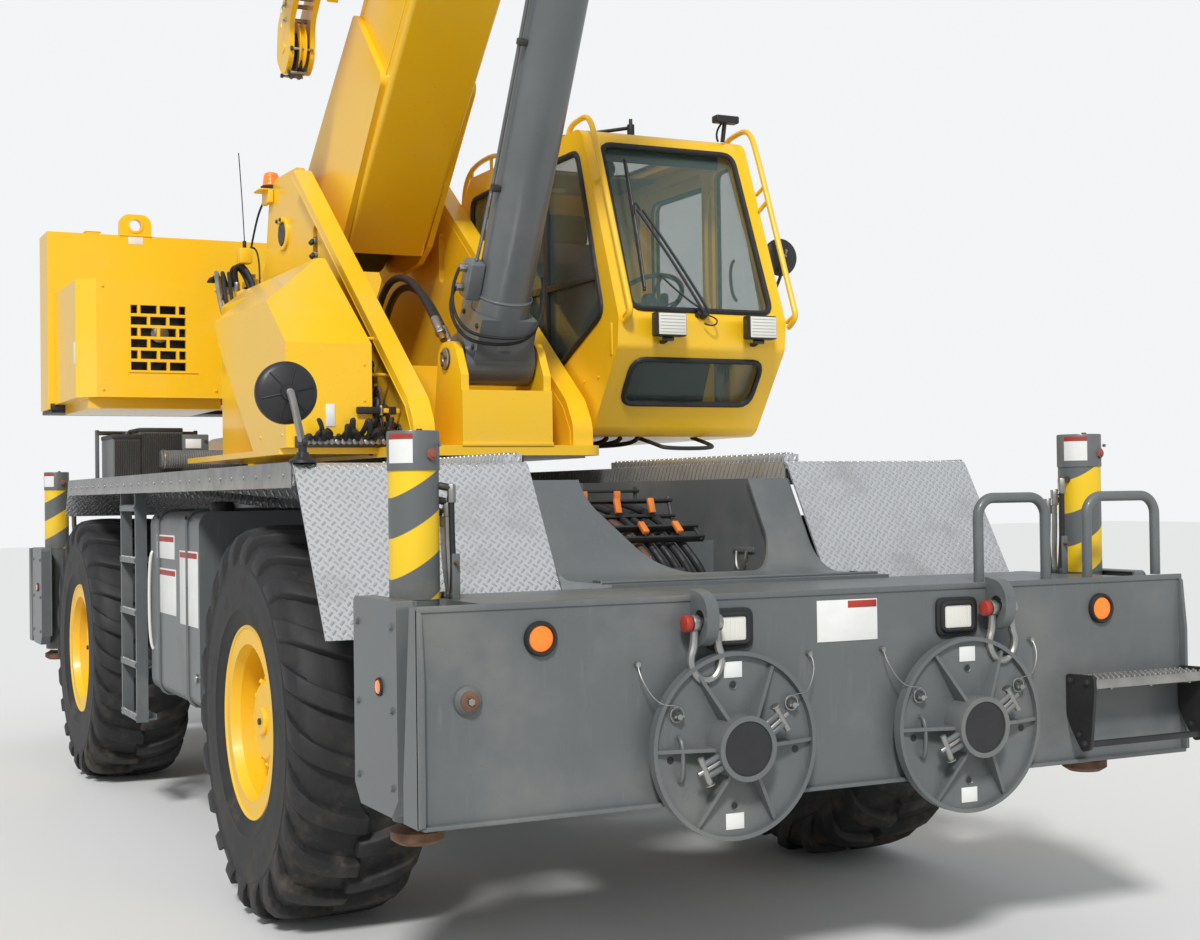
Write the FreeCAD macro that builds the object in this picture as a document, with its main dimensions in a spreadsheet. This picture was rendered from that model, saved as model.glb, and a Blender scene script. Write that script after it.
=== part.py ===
# Rough-terrain mobile crane: two axles, telescopic boom, side cab, four outriggers.
# Millimetres. +Z is up, -Y is the front, +X is the crane's left, the ground is z = 0.
import FreeCAD, Part
import math
import os
import Sketcher

doc = FreeCAD.newDocument("mobile_crane")
sheet = doc.addObject("Spreadsheet::Sheet", "Sizes")
Vector = FreeCAD.Vector
Rotation = FreeCAD.Rotation

# Driving dimensions: name, millimetres or degrees, what it is. Heights are above the ground, and
# distances along the crane run from the axis that the upper works swing about.
DRIVING = [
    ("swingY", 1230, "swing axis, behind the middle of the whole length"),
    ("wheelBase", 4043, "between the axles"),
    ("tyreDiameter", 1600, "23.5-25 tyre"),
    ("tyreWidth", 560, "23.5-25 tyre over its side walls"),
    ("wheelPlane", 1273, "middle of a wheel from the middle of the crane"),
    ("rimDiameter", 780, "over the rim's flanges"),
    ("rimWidth", 495, "over the rim's flanges"),
    ("hubDiameter", 420, "planetary hub"),
    ("kingpinX", 1010, "steering axis from the middle"),
    ("axleDiameter", 230, "axle tube"),
    ("deckTop", 1837, "tread plate"),
    ("deckHalf", 1540, "half the carrier's width"),
    ("deckFront", 2757, "front bend of the deck"),
    ("deckRear", 2320, "rear bend of the deck"),
    ("deckInner", 600, "inner edge of the deck plates"),
    ("deckSlope", 380, "how far the front slope runs out"),
    ("deckDrop", 628, "how far the front slope drops"),
    ("rearSlope", 122, "how far the rear slope runs out"),
    ("rearDrop", 225, "how far the rear slope drops"),
    ("deckPlate", 10, "thickness"),
    ("frameHalf", 450, "half the main frame's width"),
    ("frameTop", 1765, "top of the main frame"),
    ("frameBottom", 760, "underside between the axles"),
    ("frameArch", 1030, "underside over the axles"),
    ("framePlate", 30, "side plates"),
    ("hoodRun", 235, "how far the frame's front plate runs out"),
    ("hoodPlate", 12, "thickness of the frame's front plate"),
    ("hoodBend", 260, "radius at the foot of the frame's front plate"),
    ("bumperFace", 4039, "front face from the swing axis"),
    ("bumperTop", 1372, "top of the outrigger boxes"),
    ("bumperBottom", 706, "underside of the outrigger boxes"),
    ("frontPillarY", 3650, "front jacks from the swing axis"),
    ("rearPillarY", 3726, "rear jacks from the swing axis"),
    ("pillarX", 1401, "jacks from the middle, stowed"),
    ("pillarDiameter", 160, "jack tube"),
    ("pillarTop", 1915, "cap of the jack tube"),
    ("jackRod", 100, "diameter"),
    ("footDiameter", 170, "jack foot"),
    ("boxHalf", 215, "half an outrigger box along the crane"),
    ("boxEnd", 1305, "end of an outrigger box from the middle"),
    ("beamWidth", 185, "outrigger beam"),
    ("beamHeight", 470, "outrigger beam"),
    ("beamBottom", 800, "underside of the beams"),
    ("beamGap", 7, "running clearance round a beam"),
    ("beamTravel", 1950, "one outrigger beam"),
    ("floatDiameter", 610, "outrigger float"),
    ("hoopTube", 38, "grab hoops"),
    ("ringDiameter", 1100, "swing bearing"),
    ("turnBottom", 1905, "underside of the turntable"),
    ("turnPlate", 50, "turntable floor"),
    ("cheekInner", 370, "inner face of a turntable side plate"),
    ("cheekPlate", 40, "turntable side plate"),
    ("flangeWidth", 110, "sloped flange on a side plate"),
    ("pivotY", 1300, "boom foot pin behind the swing axis"),
    ("pivotZ", 3330, "boom foot pin above the ground"),
    ("pivotPin", 150, "diameter"),
    ("boomAngle", 44.3, "boom above level, as parked"),
    ("boomHalf", 245, "half the base section's width"),
    ("boomHeight", 776, "base section"),
    ("boomUnder", 612.5, "underside of the base section below the foot pin's axis"),
    ("boomWall", 12, "section plates"),
    ("boomStep", 20, "clearance between two sections"),
    ("boomBaseEnd", 9250, "front end of the base section from the foot pin"),
    ("headReach", 10100, "head sheaves' axle from the foot pin"),
    ("headDrop", 250, "head sheaves' axle below the fly section"),
    ("sheaveDiameter", 400, "head sheaves"),
    ("ropeDiameter", 20, "hoist rope"),
    ("liftY", 970, "cylinder's foot pin ahead of the swing axis"),
    ("liftZ", 2390, "cylinder's foot pin above the ground"),
    ("liftAngle", 61.83, "cylinder above level, as parked"),
    ("liftLength", 4967, "between the cylinder's pins, as parked"),
    ("liftTube", 275, "barrel diameter"),
    ("liftRod", 180, "rod diameter"),
    ("liftBarrel", 3250, "barrel from its foot pin"),
    ("liftPin", 110, "diameter"),
    ("lugAlong", 5705, "rod pin along the boom from the foot pin"),
    ("lugBelow", 762.5, "rod pin below the foot pin, square to the boom"),
    ("cabInner", 505, "cab's inner side from the middle"),
    ("cabOuter", 1480, "cab's outer side from the middle"),
    ("cabBottom", 2005, "cab floor"),
    ("cabTop", 3600, "cab roof"),
    ("cabRear", 620, "cab's back wall"),
    ("cabWall", 45, "cab panels"),
    ("cabPane", 6, "window glass"),
    ("coverSheet", 8, "valve cover"),
    ("ballastHalf", 1530, "half the counterweight's width"),
    ("ballastFront", 3190, "counterweight's front face"),
    ("ballastRear", 3720, "counterweight's rear face"),
    ("ballastBottom", 2340, "underside"),
    ("ballastTop", 3560, "top"),
]


class Size:
    """A number together with the sheet expression that gives it."""

    def __init__(self, value, text):
        self.value = value
        self.text = text

    def __add__(self, other):
        other = size(other)
        return Size(self.value + other.value, f"({self.text} + {other.text})")

    def __sub__(self, other):
        other = size(other)
        return Size(self.value - other.value, f"({self.text} - {other.text})")

    def __mul__(self, other):
        other = size(other)
        return Size(self.value * other.value, f"({self.text} * {other.text})")

    def __truediv__(self, other):
        other = size(other)
        return Size(self.value / other.value, f"({self.text} / {other.text})")

    def __radd__(self, other):
        return size(other) + self

    def __rsub__(self, other):
        return size(other) - self

    def __rmul__(self, other):
        return size(other) * self

    def __neg__(self):
        return Size(-self.value, f"(0 - {self.text})")


def size(number):
    return number if isinstance(number, Size) else Size(float(number), repr(float(number)))


class Dims:
    pass


d = Dims()
for row, (alias, number, meaning) in enumerate(DRIVING, start=1):
    sheet.set(f"A{row}", alias)
    sheet.set(f"B{row}", str(number))
    sheet.set(f"C{row}", meaning)
    sheet.setAlias(f"B{row}", alias)
    setattr(d, alias, Size(float(number), f"Sizes.{alias}"))
doc.recompute()

parts = []


def bind(feature, prop, amount):
    feature.setExpression(prop, size(amount).text)


def anchor(feature, corner):
    for axis, amount in zip("xyz", corner):
        bind(feature, f"Placement.Base.{axis}", amount)


def block(name, corner, sizes):
    """A box from its low corner and its three sizes."""
    solid = doc.addObject("Part::Box", name)
    for prop, amount in zip(("Length", "Width", "Height"), sizes):
        bind(solid, prop, amount)
    anchor(solid, corner)
    return solid


def slab(name, xs, ys, zs):
    """A box from its low and high faces on each axis."""
    low = [pair[0] for pair in (xs, ys, zs)]
    return block(name, low, [size(pair[1]) - size(pair[0]) for pair in (xs, ys, zs)])


TURN = {
    "X": Rotation(Vector(0, 1, 0), 90),
    "Y": Rotation(Vector(1, 0, 0), -90),
    "Z": Rotation(),
}


def rod(name, start, diameter, length, axis="Z"):
    """A cylinder from the middle of its first face, along an axis."""
    solid = doc.addObject("Part::Cylinder", name)
    bind(solid, "Radius", size(diameter) / 2)
    bind(solid, "Height", length)
    solid.Placement = FreeCAD.Placement(Vector(), TURN[axis])
    anchor(solid, start)
    return solid


def origin_plane(body, role):
    return [item for item in body.Origin.OriginFeatures if item.Role == role][0]


def outline(body, name, role, points):
    """A closed sketch on one of the body's own planes, each corner bound to the sheet."""
    sketch = body.newObject("Sketcher::SketchObject", name)
    sketch.AttachmentSupport = (origin_plane(body, role), [""])
    sketch.MapMode = "FlatFace"
    points = [(size(first), size(second)) for first, second in points]
    spots = [Vector(first.value, second.value, 0) for first, second in points]
    count = len(points)
    for index in range(count):
        sketch.addGeometry(Part.LineSegment(spots[index], spots[(index + 1) % count]))
    for index in range(count):
        sketch.addConstraint(Sketcher.Constraint("Coincident", index, 2, (index + 1) % count, 1))
    for index, pair in enumerate(points):
        for kind, amount in zip(("DistanceX", "DistanceY"), pair):
            number = sketch.addConstraint(Sketcher.Constraint(kind, -1, 1, index, 1, amount.value))
            sketch.setExpression(f"Constraints[{number}]", amount.text)
    return sketch


def round_corners(body, feature, role, corners):
    """Rounds the edges that stand on chosen corners of an outline: first, second, radius."""
    along = ("YZ_Plane", "XZ_Plane", "XY_Plane").index(role)
    across = [axis for axis in range(3) if axis != along]
    groups = {}
    for first, second, radius in corners:
        radius = size(radius)
        spots = groups.setdefault(radius.text, (radius, []))[1]
        spots.append((size(first).value, size(second).value))
    for index, (radius, spots) in enumerate(groups.values()):
        doc.recompute()
        edges = []
        for number, edge in enumerate(feature.Shape.Edges, start=1):
            ends = [tuple(vertex.Point[axis] for axis in across) for vertex in edge.Vertexes]
            if any(all(math.dist(spot, end) < 0.01 for end in ends) for spot in spots):
                edges.append(f"Edge{number}")
        rounding = body.newObject("PartDesign::Fillet", f"{body.Name}_round_{index}")
        rounding.Base = (feature, edges)
        bind(rounding, "Radius", radius)
        body.Tip = rounding
        feature = rounding


def plate(name, role, points, start, end):
    """A pad of an outline. YZ outlines run along X, XZ along Y and XY along Z.

    A corner's third value, where it has one, is its radius.
    """
    body = doc.addObject("PartDesign::Body", name)
    sketch = outline(body, f"{name}_outline", role, [point[:2] for point in points])
    pad = body.newObject("PartDesign::Pad", f"{name}_pad")
    pad.Profile = sketch
    bind(pad, "Length", size(end) - size(start))
    # The XZ plane's normal points along -Y.
    pad.Reversed = role == "XZ_Plane"
    sketch.Visibility = False
    round_corners(body, pad, role, [point for point in points if len(point) == 3])
    along = {"YZ_Plane": "x", "XZ_Plane": "y", "XY_Plane": "z"}[role]
    bind(body, f"Placement.Base.{along}", start)
    return body


def spun(name, axis, points, place=(0, 0, 0)):
    """A turned piece: points are (radius, distance along the axis)."""
    body = doc.addObject("PartDesign::Body", name)
    sketch = outline(body, f"{name}_profile", "XZ_Plane", points)
    turned = body.newObject("PartDesign::Revolution", f"{name}_turned")
    turned.Profile = sketch
    turned.ReferenceAxis = (sketch, ["V_Axis"])
    turned.Angle = 360
    body.Placement = FreeCAD.Placement(Vector(), TURN[axis])
    anchor(body, place)
    return body


def fuse(name, pieces):
    if len(pieces) == 1:
        return pieces[0]
    joined = doc.addObject("Part::MultiFuse", name)
    joined.Shapes = pieces
    joined.Refine = True
    return joined


def cut(name, base, tools):
    result = doc.addObject("Part::Cut", name)
    result.Base = base
    result.Tool = fuse(f"{name}_tools", tools)
    result.Refine = True
    return result


def common(name, base, tools):
    result = doc.addObject("Part::Common", name)
    result.Base = base
    result.Tool = fuse(f"{name}_tools", tools)
    return result


def values(spot):
    return Vector(*[size(amount).value for amount in spot])


def strut(name, start, end, diameter):
    """A round bar between two points that share no axis."""
    start, end = values(start), values(end)
    bar = doc.addObject("Part::Feature", name)
    bar.Shape = Part.makeCylinder(size(diameter).value / 2, start.distanceToPoint(end), start, end - start)
    return bar


def bent_tube(name, points, diameter, bend):
    """A round tube along straight runs, with an arc of one radius at each corner."""
    spots = [values(spot) for spot in points]
    bend = size(bend).value
    edges = []
    start = spots[0]
    for before, here, after in zip(spots, spots[1:], spots[2:]):
        came, goes = (here - before).normalize(), (after - here).normalize()
        turn = came.getAngle(goes)
        inward = (goes - came).normalize()
        centre = here + inward * (bend / math.cos(turn / 2))
        entry = here - came * (bend * math.tan(turn / 2))
        leave = here + goes * (bend * math.tan(turn / 2))
        edges.append(Part.makeLine(start, entry))
        edges.append(Part.Arc(entry, centre - inward * bend, leave).toShape())
        start = leave
    edges.append(Part.makeLine(start, spots[-1]))
    ring = Part.Wire([Part.makeCircle(size(diameter).value / 2, spots[0], spots[1] - spots[0])])
    tube = doc.addObject("Part::Feature", name)
    tube.Shape = Part.Wire(edges).makePipeShell([ring], True, False)
    return tube


def mirrored(name, source):
    """The same piece on the crane's other side."""
    twin = doc.addObject("Part::Mirroring", name)
    twin.Source = source
    twin.Base = Vector(0, 0, 0)
    twin.Normal = Vector(1, 0, 0)
    return twin


def part(label, feature, frame="crane"):
    """Names a finished piece and seats it: on the crane, along the boom or along the cylinder."""
    holder = doc.addObject("Part::Compound", f"{label}_part")
    holder.Links = [feature]
    holder.Label = label
    if frame == "boom":
        holder.Placement = FreeCAD.Placement(Vector(), Rotation(Vector(-1, 0, 0), d.boomAngle.value))
        bind(holder, "Placement.Rotation.Angle", d.boomAngle)
        anchor(holder, (0, d.pivotY + d.swingY, d.pivotZ))
    elif frame == "head":
        lean = Size(math.cos(math.radians(d.boomAngle.value)), "cos(Sizes.boomAngle)")
        rise = Size(math.sin(math.radians(d.boomAngle.value)), "sin(Sizes.boomAngle)")
        level = head_axle_level()
        anchor(holder, (0, d.pivotY + d.swingY - d.headReach * lean + level * rise,
                        d.pivotZ + d.headReach * rise + level * lean))
    elif frame == "lift":
        holder.Placement = FreeCAD.Placement(Vector(), Rotation(Vector(-1, 0, 0), d.liftAngle.value))
        bind(holder, "Placement.Rotation.Angle", d.liftAngle)
        anchor(holder, (0, d.swingY - d.liftY, d.liftZ))
    else:
        bind(holder, "Placement.Base.y", d.swingY)
    parts.append(holder)
    return holder


SIDES = (("right", -1), ("left", 1))
ENDS = (("front", -1), ("rear", 1))


def pillar_y(end):
    return -d.frontPillarY if end < 0 else d.rearPillarY


def spread(sign, near, far):
    """A low and high pair on the named side of the middle."""
    near, far = size(near), size(far)
    return (near, far) if sign > 0 else (-far, -near)


def axle_pad_top():
    return d.tyreDiameter / 2 + d.axleDiameter / 2 + 10


def hood_outline():
    """Foot and top of the front plate's underside, from the swing axis and the ground."""
    return [(-d.deckFront, d.frameTop), (-d.deckFront - d.hoodRun, d.bumperTop, d.hoodBend + d.hoodPlate)]


def front_hood():
    """Bent plate that closes the frame's front end, with a scoop that the boom hoses pass."""
    thick = d.hoodPlate
    lap = 40
    half = d.deckInner - 2
    top, foot = hood_outline()
    end = d.boxHalf - d.frontPillarY - lap
    # Across the slope the plate measures its thickness, so along Y it is a little more.
    skew = thick * 1.165
    bend_y = foot[0] - skew + thick * 0.6
    sheet_metal = plate("hood_sheet", "YZ_Plane", [
        top, foot, (end, d.bumperTop), (end, d.bumperTop + thick),
        (bend_y, d.bumperTop + thick, d.hoodBend), (top[0] - skew, d.frameTop),
    ], -half, half)
    scoop = plate("hood_scoop", "XZ_Plane", [
        (-385, d.frameTop + 60), (-385, d.frameTop - 75, 200), (-130, d.bumperTop + 23, 260),
        (400, d.bumperTop + 23, 150), (400, d.frameTop + 60),
    ], end - 20, -d.deckFront + 60)
    pieces = [cut("hood_scooped", sheet_metal, [scoop])]
    for side, sign in SIDES:
        pieces.append(plate(f"hood_{side}_return", "YZ_Plane", [
            top, foot, (end + lap + 5, d.bumperTop), (end + lap + 5, d.bumperTop - 42), (top[0], d.bumperTop - 42),
        ], *spread(sign, half - thick, half)))
        pieces.append(slab(f"hood_{side}_shelf", spread(sign, d.frameHalf - 5, half - thick / 2),
                           (end + lap + 5, top[0]), (d.bumperTop - 42, d.bumperTop - 30)))
    return pieces


def chassis_frame():
    """Box frame: two side plates with wheel arches, cross ties and the front plate."""
    half = d.wheelBase / 2
    arch = 330
    ramp = 150
    low = d.bumperBottom + 20
    bend = 140
    front = d.boxHalf - d.frontPillarY
    rear = d.rearPillarY - d.boxHalf
    points = [
        (front, d.bumperTop), (front, low), (-half - arch - ramp, low, bend), (-half - arch, d.frameArch, bend),
        (-half + arch, d.frameArch, bend), (-half + arch + ramp, d.frameBottom, bend),
        (half - arch - ramp, d.frameBottom, bend), (half - arch, d.frameArch, bend),
        (half + arch, d.frameArch, bend), (half + arch + ramp, low, bend), (rear, low), (rear, d.bumperTop),
        (d.deckRear - 200, d.frameTop, 300),
    ] + hood_outline()
    left = plate("frame_cheek_left", "YZ_Plane", points, d.frameHalf - d.framePlate, d.frameHalf)
    right = mirrored("frame_cheek_right", left)
    inner = d.frameHalf - d.framePlate
    top = slab("frame_top_plate", (-inner, inner), (-1150, 1500), (d.frameTop - 40, d.frameTop))
    floor = slab("frame_floor", (-inner, inner), (-half + arch + ramp + 60, half - arch - ramp - 60),
                 (d.frameBottom, d.frameBottom + 30))
    window = 300
    ties = []
    for index, where in enumerate((-half - 420, -half + 380, half - 420, half + 380)):
        tie = slab(f"frame_tie_{index}", (-inner, inner), (where, where + 40), (d.frameArch + 5, 1500))
        hole = rod(f"frame_tie_hole_{index}", (0, where - 10, (d.frameArch + 1500) / 2), window, 60, "Y")
        ties.append(cut(f"frame_tie_{index}_open", tie, [hole]))
    saddles = []
    for name, end in ENDS:
        middle = half * end
        for side, sign in SIDES:
            saddles.append(slab(f"{name}_{side}_saddle", spread(sign, 250, d.frameHalf),
                                (middle - 90, middle + 90), (axle_pad_top(), d.frameArch + 30)))
    mounts = [
        slab(f"engine_mount_{index}", (-inner, inner), (where, where + 80), (1060, 1100))
        for index, where in enumerate((2620, 3040))
    ]
    return fuse("chassis_frame_solid", [left, right, top, floor] + ties + saddles + mounts + front_hood())


def deck_side(sign, side):
    """Folded deck plate with sloped ends, an upright rail along both edges and ribs below."""
    thick = d.deckPlate
    lean = 5
    fold = 45
    front, rear = -d.deckFront, d.deckRear
    front_low, rear_low = d.deckTop - d.deckDrop, d.deckTop - d.rearDrop
    front_end, rear_end = front - d.deckSlope, rear + d.rearSlope
    points = [
        (front_end, front_low), (front, d.deckTop, fold), (rear, d.deckTop, fold), (rear_end, rear_low),
        (rear_end - thick - 2, rear_low), (rear - lean, d.deckTop - thick, fold - thick),
        (front + lean, d.deckTop - thick, fold - thick), (front_end + thick + 2, front_low),
    ]
    xs = spread(sign, d.deckInner, d.deckHalf)
    sheet_metal = plate(f"deck_{side}_sheet", "YZ_Plane", points, *xs)
    rails = []
    for spot, edge in (("outer", d.deckHalf - thick), ("inner", d.deckInner)):
        rails.append(slab(f"deck_{side}_{spot}_rail", spread(sign, edge, edge + thick), (front + 25, rear - 25),
                          (d.deckTop - 85, d.deckTop - thick / 2)))
    rib = [
        (d.frameHalf, 1640), (d.frameHalf, d.frameTop - 5), (d.deckInner, d.frameTop - 5),
        (d.deckInner, d.deckTop - thick / 2), (d.deckHalf - thick / 2, d.deckTop - thick / 2),
        (d.deckHalf - thick / 2, 1760),
    ]
    if sign < 0:
        rib = [(-size(x), z) for x, z in rib[::-1]]
    ribs = [
        plate(f"deck_{side}_rib_{index}", "XZ_Plane", rib, where - 8, where + 8)
        for index, where in enumerate((-950, 0, 950))
    ]
    return fuse(f"deck_{side}_solid", [sheet_metal] + rails + ribs)


def outrigger_box(name, end):
    """The cross box that carries two beams side by side, with the bumper in front of it."""
    middle = pillar_y(end)
    half, gap = d.boxHalf, d.beamGap
    wall, web = 10, 12
    outer = slab(f"{name}_box_outer", (-d.boxEnd, d.boxEnd), (middle - half, middle + half),
                 (d.bumperBottom, d.bumperTop))
    channels = []
    runners = []
    for side, sign in SIDES:
        near = middle + web / 2 if sign < 0 else middle - half + wall
        far = middle + half - wall if sign < 0 else middle - web / 2
        channels.append(slab(f"{name}_{side}_channel", (-d.boxEnd - 30, d.boxEnd + 30), (near, far),
                             (d.beamBottom - gap, d.beamBottom + d.beamHeight + gap)))
        for index, x in enumerate((60 - d.boxEnd, d.boxEnd - 160)):
            runners.append(slab(f"{name}_{side}_runner_{index}", (x, x + 100), (near + 30, near + 169),
                                (d.beamBottom - gap - 2, d.beamBottom - 0.3)))
    collar = 18
    collars = [
        slab(f"{name}_{side}_collar", spread(sign, d.boxEnd - 45, d.boxEnd), (middle - half, middle + half + collar)
             if end < 0 else (middle - half - collar, middle + half),
             (d.bumperBottom - collar, d.bumperTop)) for side, sign in SIDES
    ]
    shell = cut(f"{name}_box_shell", fuse(f"{name}_box_raw", [outer] + collars), channels)
    offset = d.bumperFace - d.frontPillarY
    inward = 1 if end < 0 else -1
    face = middle - offset * inward
    back = middle - half * inward
    thick = 14

    def between(first, second):
        return (first, second) if end < 0 else (second, first)

    skin = slab(f"{name}_bumper_face", (-d.deckHalf, d.deckHalf), between(face, face + thick * inward),
                (d.bumperBottom, d.bumperTop))
    top = slab(f"{name}_bumper_top", (-d.boxEnd, d.boxEnd), between(face, back), (d.bumperTop - thick, d.bumperTop))
    low = slab(f"{name}_bumper_floor", (-d.boxEnd, d.boxEnd), between(face, back),
               (d.bumperBottom, d.bumperBottom + thick))
    pieces = [shell, skin, top, low] + runners
    for side, sign in SIDES:
        wing = [
            (face, d.bumperBottom), (face, d.bumperTop), (face + 60 * inward, d.bumperTop),
            (face + 130 * inward, d.bumperBottom + 120, 60), (face + 130 * inward, d.bumperBottom),
        ]
        pieces.append(plate(f"{name}_{side}_wing", "YZ_Plane", wing,
                            *spread(sign, d.deckHalf - thick, d.deckHalf)))
        pieces.append(tow_lug(f"{name}_{side}_lug", sign, face, inward))
    return fuse(f"{name}_outrigger_solid", pieces)


def tow_lug(name, sign, face, inward):
    """D-shaped lug on a bumper, bored for a shackle's pin."""
    x = size(555) if sign < 0 else size(603)
    thick, reach, eye = 45, 112, 62
    level = 1300
    shape = [
        (face, level - 95), (face - reach * inward, level - 78, 76), (face - reach * inward, level + 78, 76),
        (face, level + 95),
    ]
    lug = plate(f"{name}_plate", "YZ_Plane", shape, *spread(sign, x, x + thick))
    hole = rod(f"{name}_eye", (-x - thick - 15 if sign < 0 else x - 15, face - 60 * inward, level), eye, thick + 30,
               "X")
    return cut(name, lug, [hole])


def outrigger(name, end, side, sign):
    """One beam with its upright jack tube, and the jack's rod and foot."""
    middle = pillar_y(end)
    shift = 6 + d.beamGap + (d.boxHalf - 16 - 2 * d.beamGap - d.beamWidth) / 2
    low = middle + shift if sign < 0 else middle - shift - d.beamWidth
    label = f"{name}_{side}"
    outer_end = d.deckHalf - 60
    beam = slab(f"{label}_bar", spread(sign, -d.boxEnd + 60, outer_end) if sign > 0 else (-outer_end, d.boxEnd - 60),
                (low, low + d.beamWidth), (d.beamBottom, d.beamBottom + d.beamHeight))
    reach, bevel = 210, 60
    cap = plate(f"{label}_end_box", "YZ_Plane", [
        (middle - reach, d.bumperBottom + bevel), (middle - reach, d.bumperTop + 10, 25),
        (middle + reach, d.bumperTop + 10, 25), (middle + reach, d.bumperBottom + bevel),
        (middle + reach - bevel, d.bumperBottom), (middle - reach + bevel, d.bumperBottom),
    ], *spread(sign, outer_end, d.deckHalf))
    jack_low, wall, cover = 665, 12, 60
    tube = rod(f"{label}_tube", (sign * d.pillarX, middle, jack_low), d.pillarDiameter, d.pillarTop - jack_low)
    bore = rod(f"{label}_bore", (sign * d.pillarX, middle, jack_low - 65), d.jackRod + 2 * wall,
               d.pillarTop - cover - jack_low + 65)
    part(f"{label}_beam", cut(f"{label}_beam_solid", fuse(f"{label}_beam_raw", [beam, cap, tube]), [bore]))
    jack = [
        (0, 590), (d.footDiameter / 2 - 25, 590), (d.footDiameter / 2, 605), (d.footDiameter / 2, 630),
        (d.jackRod / 2, 650), (d.jackRod / 2, d.pillarTop - 190), (d.jackRod / 2 + 11, d.pillarTop - 190),
        (d.jackRod / 2 + 11, d.pillarTop - 90), (0, d.pillarTop - 90),
    ]
    part(f"{label}_jack", spun(f"{label}_jack_solid", "Z", jack, (sign * d.pillarX, middle, 0)))


def axle(name, end):
    """Cast axle: a tapered housing turned about its shaft, a bowl, spring pads and forked ends."""
    middle = d.wheelBase / 2 * end
    level = d.tyreDiameter / 2
    reach = d.kingpinX - 95
    thin, thick = d.axleDiameter / 2 - 10, d.axleDiameter / 2 + 25
    housing = spun(f"{name}_axle_housing", "X", [
        (0, -reach), (thick, -reach), (thick, -reach + 60), (thin, -reach + 150), (thin, -250), (thick, -190),
        (thick, 190), (thin, 250), (thin, reach - 150), (thick, reach - 60), (thick, reach), (0, reach),
    ], (0, middle, level))
    bowl = spun(f"{name}_axle_bowl", "Y", [(0, -190), (150, -190), (235, -120), (235, 120), (120, 210), (0, 210)],
                (0, middle, level))
    yokes = []
    for side, sign in SIDES:
        yokes.append(slab(f"{name}_{side}_pad", spread(sign, 260, 440), (middle - 80, middle + 80),
                          (level, axle_pad_top())))
        outline_xs = spread(sign, reach - 30, d.kingpinX + 70)
        for spot, zs in (("top", (level + 152, level + 202)), ("bottom", (level - 202, level - 152))):
            tip, root = (outline_xs[1], outline_xs[0]) if sign > 0 else (outline_xs[0], outline_xs[1])
            yokes.append(plate(f"{name}_{side}_{spot}_yoke", "XY_Plane", [
                (root, middle - 80), (tip, middle - 80, 70), (tip, middle + 80, 70), (root, middle + 80),
            ], *zs))
        yokes.append(slab(f"{name}_{side}_yoke_back", spread(sign, reach - 40, reach), (middle - 80, middle + 80),
                          (level - 202, level + 202)))
    return fuse(f"{name}_axle_solid", [housing, bowl] + yokes)


def wheel(name, end, side, sign):
    middle = d.wheelBase / 2 * end
    level = d.tyreDiameter / 2
    label = f"{name}_{side}"
    kingpin = sign * d.kingpinX
    knob = rod(f"{label}_swivel", (kingpin, middle, level - 151.6), 150, 303.2)
    hub_back = d.kingpinX + 30
    spindle = slab(f"{label}_spindle_body", spread(sign, d.kingpinX, d.kingpinX + 100), (middle - 100, middle + 100),
                   (level - 130, level + 130))
    stub = rod(f"{label}_stub", (sign * hub_back if sign > 0 else -(hub_back + 350), middle, level), 190, 350, "X")
    reach = (60, 260) if end < 0 else (-260, -60)
    arm = slab(f"{label}_steer_arm", spread(sign, d.kingpinX - 30, d.kingpinX + 50),
               (middle + reach[0], middle + reach[1]), (level - 60, level - 20))
    part(f"{label}_knuckle", fuse(f"{label}_knuckle_solid", [knob, spindle, stub, arm]))
    rim_r, half = d.rimDiameter / 2, d.rimWidth / 2
    bead = rim_r - 72
    profile = [
        (95.5, -80), (190, -80), (205, -30), (bead - 14, -30), (bead - 14, -half + 40), (bead - 2, -half),
        (rim_r, -half), (rim_r, -half + 14), (bead, -half + 34), (bead, half - 34), (rim_r, half - 14),
        (rim_r, half), (bead - 2, half), (bead - 14, half - 40), (bead - 14, -4), (230, -4), (210, 40),
        (200, 150), (150, 190), (0, 190), (0, 130), (95.5, 130),
    ]
    turned = [(radius, sign * along) for radius, along in profile]
    if sign < 0:
        turned = turned[::-1]
    centre = (sign * d.wheelPlane, middle, level)
    part(f"{label}_rim", spun(f"{label}_rim_body", "X", turned, centre))
    outer, wide = d.tyreDiameter / 2, d.tyreWidth / 2
    tyre = [
        (bead + 1, -half + 35), (rim_r + 1, -half + 15), (rim_r + 1, -half - 2), (rim_r + 60, -wide + 5),
        (rim_r + 170, -wide), (outer - 110, -wide + 20), (outer - 55, -wide + 10), (outer - 12, -wide + 50),
        (outer, -wide + 130), (outer, wide - 130), (outer - 12, wide - 50), (outer - 55, wide - 10),
        (outer - 110, wide - 20), (rim_r + 170, wide), (rim_r + 60, wide - 5), (rim_r + 1, half + 2),
        (rim_r + 1, half - 15), (bead + 1, half - 35),
    ]
    part(f"{label}_tyre", spun(f"{label}_tyre_body", "X", tyre, centre))


def side_tanks():
    """Fuel and oil tanks with rolled long edges, each on two brackets."""
    pieces = []
    roll = 70
    low, high = 710, 1650
    for side, sign in SIDES:
        near, far = sign * size(760), sign * size(1450)
        pieces.append(plate(f"{side}_tank", "XZ_Plane", [
            (near, low, roll), (far, low, roll), (far, high, roll), (near, high, roll),
        ], -855, 240))
        for index, where in enumerate((-600, 0)):
            pieces.append(slab(f"{side}_tank_bracket_{index}", spread(sign, d.frameHalf, 770), (where, where + 200),
                               (900, 1300)))
    return fuse("side_tanks_solid", pieces)


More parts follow.
